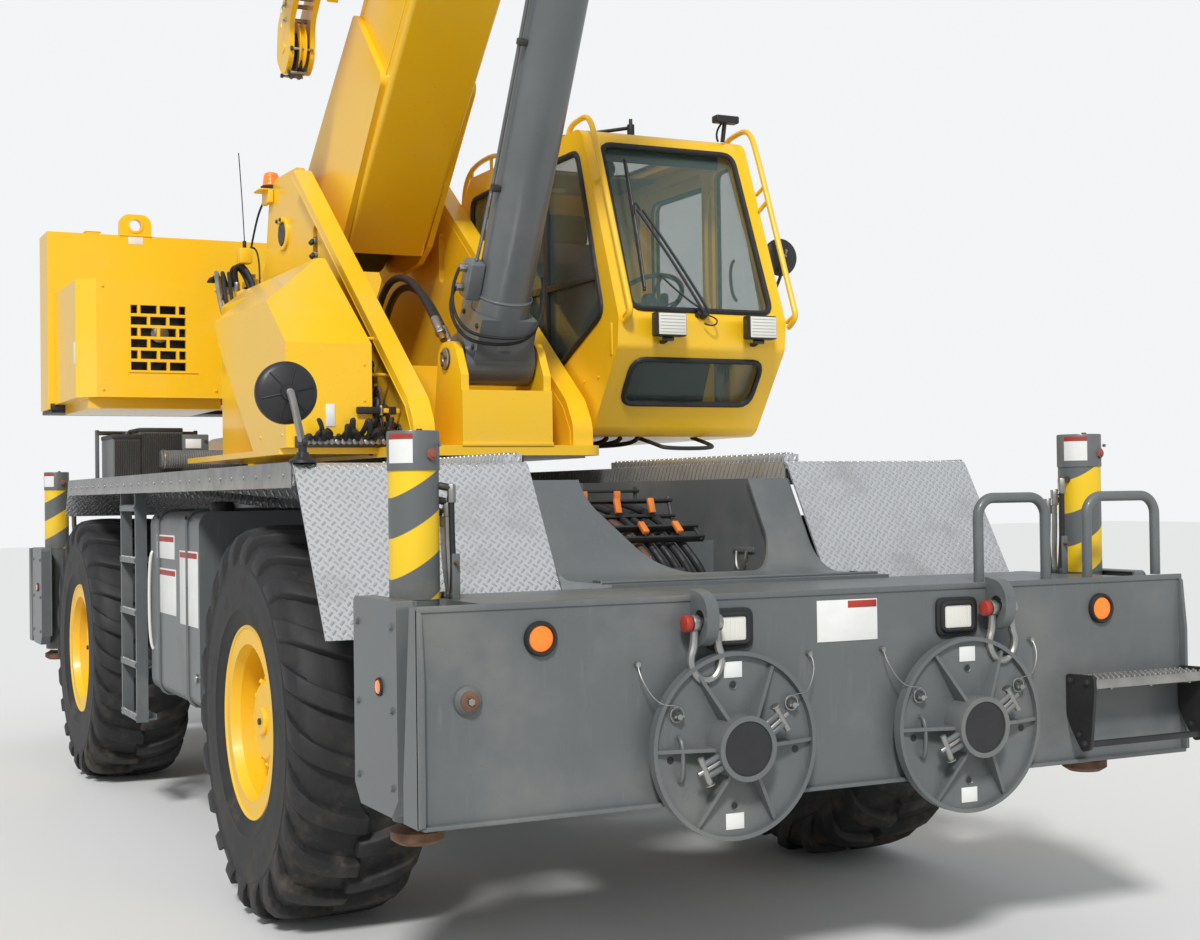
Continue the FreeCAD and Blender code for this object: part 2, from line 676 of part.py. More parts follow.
def ladders():
    """A ladder behind each tank: two uprights and five treads with turned-up edges."""
    pieces = []
    front, rear = 390, 810
    foot, pitch, lip = 530, 280, 30
    for side, sign in SIDES:
        for index, where in enumerate((front, rear - 20)):
            pieces.append(slab(f"{side}_ladder_post_{index}", spread(sign, 1440, 1500), (where, where + 20),
                               (foot - 10, d.deckTop - d.deckPlate)))
        for step in range(5):
            level = foot + pitch * step
            tread = [
                (sign * size(1395), level), (sign * size(1505), level), (sign * size(1505), level + lip),
                (sign * size(1500), level + lip), (sign * size(1500), level + 5), (sign * size(1400), level + 5),
                (sign * size(1400), level + lip), (sign * size(1395), level + lip),
            ]
            pieces.append(plate(f"{side}_ladder_tread_{step}", "XZ_Plane", tread, front, rear))
    return fuse("ladders_solid", pieces)


def hoop(name, left, right):
    """Bent grab rail that stands on the bumper."""
    face = -d.bumperFace + 90
    top = 1693 - d.hoopTube / 2
    return bent_tube(name, [(left, face, d.bumperTop), (left, face, top), (right, face, top),
                            (right, face, d.bumperTop)], d.hoopTube, 70)


def jack_float(name, end, place):
    """A round jack pad: a dished plate with a rim, a socket for the jack and six tapered ribs."""
    half = d.floatDiameter / 2
    deep, seat, socket, rib = 40, 14, 105, 12
    profile = [
        (0, 0), (60, 0), (60, deep), (half, deep), (half, deep + 35), (half - seat, deep + 35),
        (half - seat, deep + seat), (socket, deep + seat), (socket, deep + 110), (socket - 17, deep + 110),
        (socket - 17, deep + 20), (0, deep + 20),
    ]
    body = doc.addObject("PartDesign::Body", name)
    turned = body.newObject("PartDesign::Revolution", f"{name}_turned")
    sketch = outline(body, f"{name}_profile", "XZ_Plane", profile)
    turned.Profile = sketch
    turned.ReferenceAxis = (sketch, ["V_Axis"])
    turned.Angle = 360
    fin = body.newObject("PartDesign::Pad", f"{name}_fin")
    fin.Profile = outline(body, f"{name}_fin_outline", "XZ_Plane", [
        (socket - 5, deep + 5), (half - 5, deep + 5), (half - 5, deep + 25), (socket - 5, deep + 80),
    ])
    bind(fin, "Length", rib)
    fin.Midplane = True
    fins = body.newObject("PartDesign::PolarPattern", f"{name}_fins")
    fins.Originals = [fin]
    fins.Axis = ([item for item in body.Origin.OriginFeatures if item.Role == "Z_Axis"][0], [""])
    fins.Angle = 360
    fins.Occurrences = 6
    body.Tip = fins
    body.Placement = FreeCAD.Placement(Vector(), Rotation(Vector(1, 0, 0), 90 if end < 0 else -90))
    anchor(body, place)
    return body


def stowed_floats():
    """The four jack pads hang on both bumpers."""
    pads = []
    for name, end in ENDS:
        face = (d.bumperFace - d.frontPillarY + (d.frontPillarY if end < 0 else d.rearPillarY)) * end
        for side, sign in SIDES:
            pads.append(jack_float(f"{name}_{side}_float", end, (sign * 475, face, 887)))
    return fuse("stowed_floats_solid", pads)


def cooling_pack():
    """Radiator group and intake pipe at the right rear of the deck."""
    return fuse("cooling_pack_solid", [
        slab("radiator_end", (-1300, -1130), (2110, 2500), (d.deckTop, 2120)),
        slab("radiator_core", (-1130, -860), (2130, 2480), (d.deckTop, 2160)),
        slab("radiator_control", (-860, -700), (2110, 2460), (d.deckTop, 2130)),
        rod("intake_cross", (-1010, 2100, 1970), 106, 560, "X"),
        rod("intake_run", (-504, 2100, 1970), 98, 480, "Y"),
        slab("intake_foot", (-510, -450.5), (2460, 2560), (1500, 1960)),
    ])


def deck_mirror():
    """Round mirror on a leaning arm at the deck's front corner."""
    foot = (-1500, -2740, d.deckTop)
    elbow = (-1500, -2740, d.deckTop + 60)
    face = (-1560, -2740, 2075)
    return fuse("deck_mirror_solid", [
        rod("mirror_foot", foot, 90, 20),
        rod("mirror_stub", foot, 36, 60),
        strut("mirror_arm", elbow, face, 30),
        rod("mirror_face", (face[0], -2765, face[2] + 20), 226, 40, "Y"),
    ])


def swing_bearing():
    lower = rod("bearing_lower", (0, 0, d.frameTop), d.ringDiameter, d.turnBottom - d.frameTop - 0.5)
    hole = rod("bearing_hole", (0, 0, d.frameTop - 5), d.ringDiameter - 260, d.turnBottom - d.frameTop + 10)
    return cut("swing_bearing_solid", lower, [hole])


def engine_hood():
    """Sheet-metal hood over the engine, open at the rear, with louvres along its sides."""
    front, rear = 2340, 3400
    half, wall = d.frameHalf - d.framePlate - 0.5, 8
    low, high, roll = size(1640), 2150, 90
    outer = plate("hood_shell", "XZ_Plane", [
        (-half, low), (half, low), (half, high, roll), (-half, high, roll),
    ], front, rear)
    hollow = plate("hood_hollow", "XZ_Plane", [
        (wall - half, low - 5), (half - wall, low - 5), (half - wall, high - wall, roll - wall),
        (wall - half, high - wall, roll - wall),
    ], front + wall, rear + 5)
    louvres = [
        slab(f"hood_louvre_{index}", (-half - 5, half + 5), (front + 180 + 90 * index, front + 220 + 90 * index),
             (1850, 2020))
        for index in range(9)
    ]
    return cut("engine_hood_solid", outer, [hollow] + louvres)


def turntable():
    """Floor over the bearing, two side plates with bent flanges, the cylinder's lugs and the cross webs."""
    floor_top = d.turnBottom + d.turnPlate
    inner, outer = d.cheekInner, d.cheekInner + d.cheekPlate
    front, rear = -1180, 1700
    lap, corner = 120, 90
    floor = plate("turn_floor", "XY_Plane", [
        (-outer - lap, front, corner), (outer + lap, front, corner), (outer + lap, rear, corner),
        (-outer - lap, rear, corner),
    ], d.turnBottom, floor_top)
    ring = rod("turn_ring", (0, 0, d.turnBottom), d.ringDiameter + 80, d.turnPlate - 15)
    wing = plate("turn_wing", "XY_Plane", [
        (-1000, -640), (-880, -760), (-outer, -760), (-outer, 1480), (-880, 1480), (-1000, 1360),
    ], floor_top - 30, floor_top)
    cab_shelf = slab("turn_cab_shelf", (outer, 700), (-600, 500), (d.turnBottom, floor_top - 5))
    rear_floor = slab("turn_rear_floor", (-520, 520), (1750, d.ballastFront), (d.ballastBottom, d.ballastBottom + 40))
    toe, knee, bend = -1110, 2040, 120
    cheek = [
        (toe, floor_top - 5), (toe, knee, bend), (-1030, 2150, bend), (880, 3600, 90), (1000, 3690, 90),
        (1520, 3700, 140), (1640, 3560, 90), (1760, 3100, 260), (2250, 2760, 400), (d.ballastFront, 2700),
        (d.ballastFront, d.ballastBottom), (1900, d.ballastBottom), (rear - 10, floor_top - 5),
    ]
    pieces = [floor, ring, wing, cab_shelf, rear_floor]
    for side, sign in SIDES:
        pieces.append(plate(f"turn_cheek_{side}", "YZ_Plane", cheek, *spread(sign, inner, outer)))
        flange = [
            (toe, floor_top), (toe, knee, bend), (-1030, 2150, bend), (880, 3600), (850, 3640),
            (-1060, 2190, bend + 35), (toe - 35, knee + 20, bend + 35), (toe - 35, floor_top),
        ]
        pieces.append(plate(f"turn_flange_{side}", "YZ_Plane", flange, *spread(sign, inner, inner + d.flangeWidth)))
        lug = [
            (-1165, floor_top - 5), (-1165, 2300), (-d.liftY - 100, d.liftZ + 85, 95),
            (-d.liftY + 100, d.liftZ + 85, 95), (-760, floor_top - 5),
        ]
        pieces.append(plate(f"turn_lug_{side}", "YZ_Plane", lug, *spread(sign, 200, 240)))
    pieces.append(slab("turn_front_plate", (-240, 240), (front, front + 30), (floor_top - 5, 2225)))
    pieces.append(slab("turn_cross_web", (-inner - 5, inner + 5), (560, 590), (floor_top - 5, 2480)))
    pieces.append(slab("turn_back_web", (-inner - 5, inner + 5), (1620, 1650), (floor_top - 5, 2420)))
    for index, where in enumerate((-560, 260)):
        pieces.append(plate(f"turn_cab_mount_{index}", "XZ_Plane", [
            (outer - 5, floor_top - 5), (700, floor_top - 5), (700, d.cabBottom), (500, d.cabBottom),
            (outer - 5, 2250),
        ], where, where + 40))
    tools = [
        rod("turn_foot_bore", (-outer - 5, d.pivotY, d.pivotZ), d.pivotPin + 0.1, 2 * outer + 10, "X"),
        rod("turn_lift_bore", (-260, -d.liftY, d.liftZ), d.liftPin + 0.1, 520, "X"),
    ]
    slot = [(610, 2990, 40), (700, 2990, 40), (700, 3330, 40), (610, 3260, 40)]
    hatch = [(1950, 2430, 60), (2900, 2430, 60), (2900, 2620, 60), (2300, 2650, 120), (1950, 2850, 60)]
    for spot, shape in (("slot", slot), ("hatch", hatch)):
        tools.append(plate(f"turn_{spot}", "YZ_Plane", shape, -outer - 10, outer + 10))
    return cut("turntable_solid", fuse("turntable_raw", pieces), tools)


def counterweight():
    """Slab with bevelled rear corners, a bevelled underside and hook pockets behind the hoists."""
    half, front, rear, corner = d.ballastHalf, d.ballastFront, d.ballastRear, 160
    points = [
        (-half, front), (half, front), (half, rear - corner, 60), (half - corner, rear, 60),
        (corner - half, rear, 60), (-half, rear - corner, 60),
    ]
    slug = plate("ballast_slug", "XY_Plane", points, d.ballastBottom, d.ballastTop)
    bevel = 90
    tools = [
        plate("ballast_under", "YZ_Plane", [
            (rear - bevel, d.ballastBottom - 5), (rear + 5, d.ballastBottom - 5), (rear + 5, d.ballastBottom + bevel),
        ], -half - 10, half + 10),
    ]
    for side, sign in SIDES:
        tools.append(plate(f"ballast_{side}_pocket", "XZ_Plane", [
            (sign * size(620), 2560, 40), (sign * size(760), 2560, 40), (sign * size(760), 2760, 40),
            (sign * size(620), 2760, 40),
        ], rear - 110, rear + 10))
    return cut("counterweight_solid", slug, tools)


def ballast_eyes():
    """Lifting eyes that stand on the counterweight's front edge."""
    eyes = []
    thick, tall, bore, wide = 50, 150, 80, 110
    for side, sign in SIDES:
        middle = sign * size(935)
        lug = plate(f"ballast_{side}_eye", "XZ_Plane", [
            (middle - wide, d.ballastTop), (middle + wide, d.ballastTop), (middle + wide, d.ballastTop + tall, 70),
            (middle - wide, d.ballastTop + tall, 70),
        ], d.ballastFront, d.ballastFront + thick)
        hole = rod(f"ballast_{side}_hole", (middle, d.ballastFront - 10, d.ballastTop + tall / 2), bore,
                   thick + 20, "Y")
        eyes.append(cut(f"ballast_{side}_lug", lug, [hole]))
    return fuse("ballast_eyes_solid", eyes)


def cooler_box():
    """Sheet-metal box with one cut corner, a set-back pan below and a grille of staggered slots."""
    left, right, front, rear = -1490, -575, 2200, d.ballastFront
    low, high, corner, pan = 2370, 3125, 110, 70
    points = [(left + corner, front), (right, front), (right, rear), (left, rear), (left, front + corner)]
    outer = plate("cooler_outer", "XY_Plane", points, low, high)
    under = slab("cooler_pan", (left + pan, right), (front + pan, rear), (low - pan, low + 5))
    wall = 25
    inner = [(left + corner + wall, front + wall), (right - wall, front + wall), (right - wall, rear - wall),
             (left + wall, rear - wall), (left + wall, front + corner + wall)]
    hollow = plate("cooler_hollow", "XY_Plane", inner, low + wall, high - wall)
    slots = []
    rows, gap, tall, wide = 6, 19, 54, 104
    start_x, start_z = -1165, 2545
    for row in range(rows):
        z = start_z + row * (tall + gap)
        widths = [wide, wide, wide] if row % 2 == 0 else [wide / 2 - gap / 2, wide, wide, wide / 2 - gap / 2]
        x = start_x
        for index, width in enumerate(widths):
            slots.append(slab(f"cooler_slot_{row}_{index}", (x, x + width), (front - 10, front + wall + 10),
                              (z, z + tall)))
            x = x + width + gap
    return cut("cooler_box_solid", fuse("cooler_raw", [outer, under]), [hollow] + slots)


def hoist(name, where, level):
    """A winch: a flanged drum turned in one piece, two side stands, end cases and a motor."""
    half, core, flange, rim = 250, 180, 270, 30
    drum = spun(f"{name}_drum", "X", [
        (0, -half - rim), (flange, -half - rim), (flange, -half), (core, -half), (core, half), (flange, half),
        (flange, half + rim), (0, half + rim),
    ], (0, where, level))
    stand_base = 2690
    pieces = [drum]
    for side, sign in SIDES:
        pieces.append(plate(f"{name}_{side}_stand", "YZ_Plane", [
            (where - 200, stand_base), (where + 200, stand_base), (where + 130, level + 80, 90),
            (where - 130, level + 80, 90),
        ], *spread(sign, half + rim + 20, half + rim + 60)))
        pieces.append(rod(f"{name}_{side}_case", (sign * 275 if sign > 0 else -345, where, level), 330, 70, "X"))
    motor = [(0, -540), (80, -540), (105, -500), (105, -430), (120, -430), (120, -400), (90, -400), (90, -300),
             (0, -300)]
    pieces.append(spun(f"{name}_motor", "X", motor, (0, where, level)))
    pieces.append(slab(f"{name}_base", (-d.cheekInner, d.cheekInner), (where - 230, where + 230), (2655, 2700)))
    return fuse(f"{name}_solid", pieces)


def cover_shape(name, inset):
    """The cover's outside, or with an inset its inside, which is open below and towards the middle."""
    inset = size(inset)
    slant = inset * 1.3
    open_end = 60 if inset.value else 0
    left, right, front, rear = -1000 + inset, -560 + size(open_end), -770 + inset, 1470 - inset
    low, high = d.turnBottom + d.turnPlate - open_end, 3000 - inset
    floor = d.turnBottom + d.turnPlate
    box = slab(f"{name}_box", (left, right), (front, rear), (low, high))
    slope = plate(f"{name}_slope", "YZ_Plane", [
        (-830, 2430 - slant), (60, 3050 - slant), (60, 3100), (-830, 3100),
    ], -1010, right + 5)
    tuck = plate(f"{name}_tuck", "YZ_Plane", [
        (-150 - slant, floor - 65), (-150 - slant, floor), (520 - slant, 2520), (700 - slant, 2740),
        (1100 - slant, 3100), (1480, 3100), (1480, floor - 65),
    ], -1010, -760 + inset)
    bevel = plate(f"{name}_bevel", "XZ_Plane", [
        (-1010, 2700 - slant), (-1010, 3010), (-600, 3010), (-600, 3005 - slant),
    ], -780, 1480)
    return cut(f"{name}_shape", box, [slope, tuck, bevel])


def valve_cover():
    """Folded sheet-metal cover over the valves on the right of the turntable."""
    return cut("valve_cover_solid", cover_shape("cover_outer", 0), [cover_shape("cover_inner", d.coverSheet)])


def cab_outline(inset):
    """The cab's side outline; with an inset it lies that much inside the panels' outer face."""
    inset = size(inset)
    toe, brow = -1385, -1400
    return [
        (-1000 + inset * 1.2, d.cabTop - inset, 90), (brow + inset * 1.1, 2585, 60), (toe + inset * 1.1, 2440, 60),
        (-1075 + inset * 1.1, d.cabBottom + inset, 110), (d.cabRear - inset, d.cabBottom + inset, 40),
        (d.cabRear - inset, d.cabTop - 120 - inset * 0.5, 40),
        (d.cabRear - 110 - inset * 0.5, d.cabTop - inset, 60),
    ]


def cab_windows():
    """Prisms through the cab's walls, one for each window, with rounded corners."""
    near, far = d.cabInner, d.cabOuter
    through = 5
    front = (-1500, -800)
    side = (near - through, near + d.cabWall + through)
    return [
        plate("cab_windscreen", "XZ_Plane", [
            (near + 80, 2625, 60), (far - 80, 2625, 60), (far - 95, 3520, 60), (near + 95, 3520, 60),
        ], *front),
        plate("cab_low_window", "XZ_Plane", [
            (near + 110, 2165, 70), (far - 110, 2165, 70), (far - 110, 2385, 50), (near + 110, 2385, 50),
        ], *front),
        plate("cab_side_window", "YZ_Plane", [
            (-960, 3480, 60), (-1230, 2620, 60), (-700, 2380, 80), (-120, 2380, 60), (-120, 3480, 60),
        ], *side),
        plate("cab_rear_side_window", "YZ_Plane", [
            (-50, 2700, 60), (480, 2700, 60), (480, 3460, 60), (-50, 3480, 60),
        ], *side),
        plate("cab_quarter_window", "YZ_Plane", [
            (-960, 3480, 60), (-1230, 2620, 60), (-730, 2620, 50), (-730, 3480, 50),
        ], far - d.cabWall - through, far + through),
        plate("cab_rear_window", "XZ_Plane", [
            (near + 120, 2750, 60), (far - 120, 2750, 60), (far - 120, 3400, 60), (near + 120, 3400, 60),
        ], d.cabRear - d.cabWall - through, d.cabRear + through),
        plate("cab_roof_window", "XY_Plane", [
            (near + 150, -750, 60), (far - 150, -750, 60), (far - 150, 150, 60), (near + 150, 150, 60),
        ], d.cabTop - d.cabWall - through, d.cabTop + through),
    ]


def cab_layer(name, outer, inner):
    """The cab's skin between two depths below its outer face."""
    def filled(spot, inset):
        return plate(f"{name}_{spot}", "YZ_Plane", cab_outline(inset), d.cabInner + inset, d.cabOuter - inset)

    return filled("outer", outer), filled("inside", inner)


def cab_shell(windows):
    """Hollow cab with its windows and doorway cut, and the door's two rails."""
    outer, inside = cab_layer("cab", size(0), d.cabWall)
    far = d.cabOuter
    doorway = plate("cab_doorway", "YZ_Plane", [
        (-620, 2090, 50), (120, 2090, 50), (120, 3500, 50), (-620, 3500, 50),
    ], far - d.cabWall - 5, far + 5)
    rails = [
        slab(f"cab_{spot}_rail", (far - 2, far + 7.6), (-650, 600), zs)
        for spot, zs in (("top", (3502, 3534)), ("bottom", (2045, 2088)))
    ]
    return fuse("cab_shell_solid", [cut("cab_shell_open", outer, [inside, doorway] + windows)] + rails)


def cab_glass(windows):
    """The panes, let into the middle of the walls."""
    depth = (d.cabWall - d.cabPane) / 2
    outer, inside = cab_layer("pane", depth, depth + d.cabPane)
    return common("cab_glass_solid", cut("pane_layer", outer, [inside]), windows)


def cab_door():
    far = d.cabOuter
    gap, thick = 8, 35
    panel = plate("door_panel", "YZ_Plane", [
        (-650, 2075, 60), (150, 2075, 60), (150, 3530, 60), (-650, 3530, 60),
    ], far + gap, far + gap + thick)
    window = plate("door_window_cut", "YZ_Plane", [
        (-560, 2500, 60), (60, 2500, 60), (60, 3430, 60), (-560, 3430, 60),
    ], far, far + 50)
    return cut("cab_door_solid", panel, [window])


def cab_mirror():
    far = d.cabOuter
    return fuse("cab_mirror_solid", [
        slab("cab_mirror_base", (far, far + 8), (-1230, -1160), (2880, 2980)),
        rod("cab_mirror_arm", (far + 4, -1195, 2930), 26, 140, "X"),
        rod("cab_mirror_face", (far + 110, -1213, 2930), 200, 36, "Y"),
    ])


def cab_seat():
    """Operator's seat, its stand and the two arm consoles, and the dash behind the lower window."""
    middle = (d.cabInner + d.cabOuter) / 2
    floor = d.cabBottom + d.cabWall
    back = plate("seat_back", "YZ_Plane", [(60, 2470), (180, 2470), (300, 3200, 40), (200, 3200, 40)],
                 middle - 240, middle + 240)
    cushion = plate("seat_cushion", "YZ_Plane", [
        (-400, 2340, 30), (140, 2340), (140, 2480), (-400, 2500, 55),
    ], middle - 250, middle + 250)
    stand = plate("seat_stand", "YZ_Plane", [(-280, floor), (60, floor), (0, 2340), (-220, 2340)],
                  middle - 150, middle + 150)
    pieces = [stand, cushion, back]
    for side, sign in SIDES:
        x = middle + sign * 330
        pieces.append(plate(f"seat_{side}_console", "YZ_Plane", [
            (-420, 2480, 40), (-300, 2400), (100, 2400), (100, 2620, 40), (-420, 2600, 40),
        ], x - 70, x + 70))
        pieces.append(slab(f"seat_{side}_bracket", (x - 110, x + 40) if sign > 0 else (x - 40, x + 110),
                           (-200, 0), (2360, 2420)))
    pieces.append(plate("dash", "YZ_Plane", [(-950, floor), (-860, floor), (-860, 2300, 60), (-1020, 2430, 60),
                                             (-1130, 2430)], middle - 200, middle + 200))
    return fuse("cab_seat_solid", pieces)


def lift_cylinder():
    """The lift cylinder lies along -Y from its foot pin."""
    half, wall, dead = d.liftTube / 2, 25, 150
    foot = plate("barrel_foot", "YZ_Plane", [
        (-60, -140), (-60, 140), (-270, 140), (-270, -140),
    ], -150, 150)
    eye = rod("barrel_eye", (-185, 0, 0), 260, 370, "X")
    tube = spun("barrel_tube", "Y", [
        (0, -d.liftBarrel), (half + 2.5, -d.liftBarrel), (half + 2.5, 120 - d.liftBarrel),
        (half, 130 - d.liftBarrel), (half, -360), (half + 8, -340), (half + 8, -110), (0, -110),
    ])
    # The nose port points away from the boom, which lies close above it when lowered.
    tall = half + 45
    ports = [
        rod(f"barrel_port_{index}", (x, -along, low), 60, tall, "Z")
        for index, (x, along, low) in enumerate(((55, 430, 0), (-55, d.liftBarrel - 200, -tall)))
    ]
    body = fuse("barrel_raw", [eye, tube, foot] + ports)
    bore = rod("barrel_bore", (0, -d.liftBarrel - 5, 0), d.liftTube - 2 * wall, d.liftBarrel + 5 - dead, "Y")
    pin_bore = rod("barrel_pin_bore", (-200, 0, 0), d.liftPin + 0.1, 400, "X")
    part("lift_barrel", cut("lift_barrel_solid", body, [bore, pin_bore]), "lift")
    pin = rod("base_pin", (-250, 0, 0), d.liftPin, 500, "X")
    part("lift_base_pin", pin, "lift")
    ring = cut("piston_ring", rod("piston_head", (0, -1960, 0), d.liftTube - 2 * wall - 1, 150, "Y"),
               [rod("piston_bore", (0, -1970, 0), d.liftRod + 1, 170, "Y")])
    part("lift_piston", ring, "lift")
    stem = rod("rod_stem", (0, -d.liftLength, 0), d.liftRod, 3200, "Y")
    head = rod("rod_eye", (-140, -d.liftLength, 0), 250, 280, "X")
    collar = half - wall - 8
    neck = spun("rod_neck", "Y", [
        (0, -d.liftLength + 60), (collar, -d.liftLength + 60), (collar, -d.liftLength + 130),
        (d.liftRod / 2, -d.liftLength + 190), (0, -d.liftLength + 190),
    ])
    eye_bore = rod("rod_eye_bore", (-145, -d.liftLength, 0), d.liftPin, 290, "X")
    part("lift_rod", cut("lift_rod_solid", fuse("lift_rod_raw", [stem, neck, head]), [eye_bore]), "lift")


def foot_pin():
    """The boom's foot pin, turned in one with the hub that keeps the boom's cheeks apart."""
    reach = d.cheekInner + d.cheekPlate + 20
    pin, hub, neck = d.pivotPin / 2, 205, 110
    width = d.boomHalf - 6
    return spun("foot_pin_turned", "X", [
        (0, -reach), (pin - 6, -reach), (pin, 8 - reach), (pin, -width), (neck + 20, -width), (hub, 40 - width),
        (hub, width - 40), (neck + 20, width), (pin, width), (pin, reach - 8), (pin - 6, reach), (0, reach),
    ])


def boom_inset(index):
    """How far inside the base section's plates another section's plates lie."""
    return (d.boomWall + d.boomStep) * index


def boom_ring(index, grow):
    """A section's outline, cut at its upper corners; the lower corners are rounded."""
    inset = boom_inset(index)
    grow = size(grow)
    half = d.boomHalf - inset + grow
    low = -d.boomUnder + inset - grow
    high = d.boomHeight - d.boomUnder - inset + grow
    trim = 70 + grow * 0.4
    bend = 30 + grow
    return [
        (-half, low, bend), (half, low, bend), (half, high - trim, bend), (half - trim, high, bend),
        (-half + trim, high, bend), (-half, high - trim, bend),
    ]


def boom_section(name, index, start, end):
    """A hollow section with a collar at its nose and wear pads where it slides in the others."""
    outer = plate(f"{name}_outer", "XZ_Plane", boom_ring(index, 0), -end, -start)
    nose = 70
    collar = plate(f"{name}_collar", "XZ_Plane", boom_ring(index, 14), -end, nose - end)
    hollow = plate(f"{name}_inner", "XZ_Plane", boom_ring(index, -d.boomWall), -end - 5, -start + 5)
    tube = cut(f"{name}_tube", fuse(f"{name}_raw", [outer, collar]), [hollow])
    low = -d.boomUnder + boom_inset(index)
    high = d.boomHeight - d.boomUnder - boom_inset(index)
    pad = d.boomStep - 0.4
    pads = []
    if index < 3:
        inside = low + d.boomWall
        pads.append(slab(f"{name}_front_pad", (-120, 120), (-end, 130 - end), (inside - 2, inside + pad)))
    if index > 0:
        pads.append(slab(f"{name}_rear_pad", (-100, 100), (-start - 150, -start), (high - 2, high + pad)))
    return fuse(f"{name}_section", [tube] + pads)


def boom_base():
    """Base section with the cheeks that carry the foot pin, the cylinder's lugs and stiffening bands."""
    tube = boom_section("base", 0, size(350), d.boomBaseEnd)
    half = d.boomHalf
    cheek = [
        (230, -170, 90), (230, 90, 90), (110, 230, 90), (-120, 240, 90), (-900, 163), (-1500, 100, 60),
        (-1500, -560, 60), (-420, -612), (-250, -560),
    ]
    pieces = [tube]
    for side, sign in SIDES:
        pieces.append(plate(f"base_cheek_{side}", "YZ_Plane", cheek, *spread(sign, half - 1, half + 34)))
        boss = rod(f"base_boss_{side}", (sign * (half + 30) if sign > 0 else -(half + 110), 0, 0), 330, 80, "X")
        pieces.append(boss)
        lug = [
            (-d.lugAlong - 260, -d.boomUnder + 4), (-d.lugAlong - 110, -d.lugBelow - 105, 110),
            (-d.lugAlong + 110, -d.lugBelow - 105, 110), (-d.lugAlong + 420, -d.boomUnder + 4),
        ]
        pieces.append(plate(f"base_lug_{side}", "YZ_Plane", lug, *spread(sign, 150, 190)))
        pieces.append(rod(f"base_pin_cap_{side}", (150 if sign > 0 else -215, -d.lugAlong, -d.lugBelow),
                          150, 65, "X"))
    bands = []
    for index, where in enumerate((-d.lugAlong - 330, -d.lugAlong + 500)):
        bands.append(plate(f"base_band_{index}", "XZ_Plane", boom_ring(0, 10), where, where + 90))
    core = plate("base_band_core", "XZ_Plane", boom_ring(0, -d.boomWall / 2), -d.boomBaseEnd, -400)
    pieces.append(cut("base_bands", fuse("base_bands_raw", bands), [core]))
    body = fuse("boom_base_raw", pieces)
    bore = rod("base_foot_bore", (-half - 150, 0, 0), d.pivotPin + 0.1, 2 * half + 300, "X")
    return cut("boom_base_solid", body, [bore])


def boom_head():
    """Fly section with the head plates that carry the sheaves."""
    tube = boom_section("fly", 3, size(1300), d.headReach - 260)
    inset = boom_inset(3)
    half = d.boomHalf - inset
    low = -d.boomUnder + inset
    high = d.boomHeight - d.boomUnder - inset
    reach = d.headReach
    drop = d.headDrop
    side_plate = [
        (-reach + 330, low + 5), (-reach + 330, high), (-reach - 60, high + 60, 60), (-reach - 240, high - 40, 80),
        (-reach - 130, low - drop - 60, 110), (-reach, low - drop - 115, 60), (-reach + 120, low - drop - 60, 100),
    ]
    window = [
        (-reach + 120, low + 90, 60), (-reach + 120, high - 70, 60), (-reach - 110, high - 50, 60),
        (-reach - 80, low + 110, 60),
    ]
    pieces = [tube]
    for side, sign in SIDES:
        xs = spread(sign, half - 1, half + 29)
        hole = plate(f"head_window_{side}", "YZ_Plane", window, xs[0] - 5, xs[1] + 5)
        pieces.append(cut(f"head_open_{side}", plate(f"head_cheek_{side}", "YZ_Plane", side_plate, *xs), [hole]))
    pieces.append(slab("head_tie", (-half, half), (-reach - 60, -reach + 200), (high - 20, high)))
    body = fuse("boom_fly_raw", pieces)
    axle_bore = rod("head_axle_bore", (-half - 60, -reach, low - drop), 80.1, 2 * half + 120, "X")
    return cut("boom_fly_solid", body, [axle_bore])


def head_axle_level():
    return 3 * (d.boomWall + d.boomStep) - d.boomUnder - d.headDrop


def sheave_stack(count, pitch, first, groove):
    """Outline of grooved sheaves side by side, from the first one's middle."""
    rim, hub = d.sheaveDiameter / 2, 75
    points = []
    for index in range(count):
        middle = first + pitch * index
        points += [
            (hub, middle - 20), (rim, middle - 20), (rim, middle - 14), (rim - groove, middle - 5),
            (rim - groove, middle + 5), (rim, middle + 14), (rim, middle + 20), (hub, middle + 20),
        ]
    return points


def head_sheaves():
    """Four grooved sheaves and their axle, turned as one."""
    half = d.boomHalf - boom_inset(3)
    pitch, first = 70, -105
    stack = sheave_stack(4, pitch, first, 10)
    shaft = 40
    profile = [(0, -half - 40), (shaft, -half - 40), (shaft, first - 20)]
    profile += stack + [(shaft, 20 - first), (shaft, half + 40), (0, half + 40)]
    return spun("head_sheaves_solid", "X", profile, (0, -d.headReach, head_axle_level()))


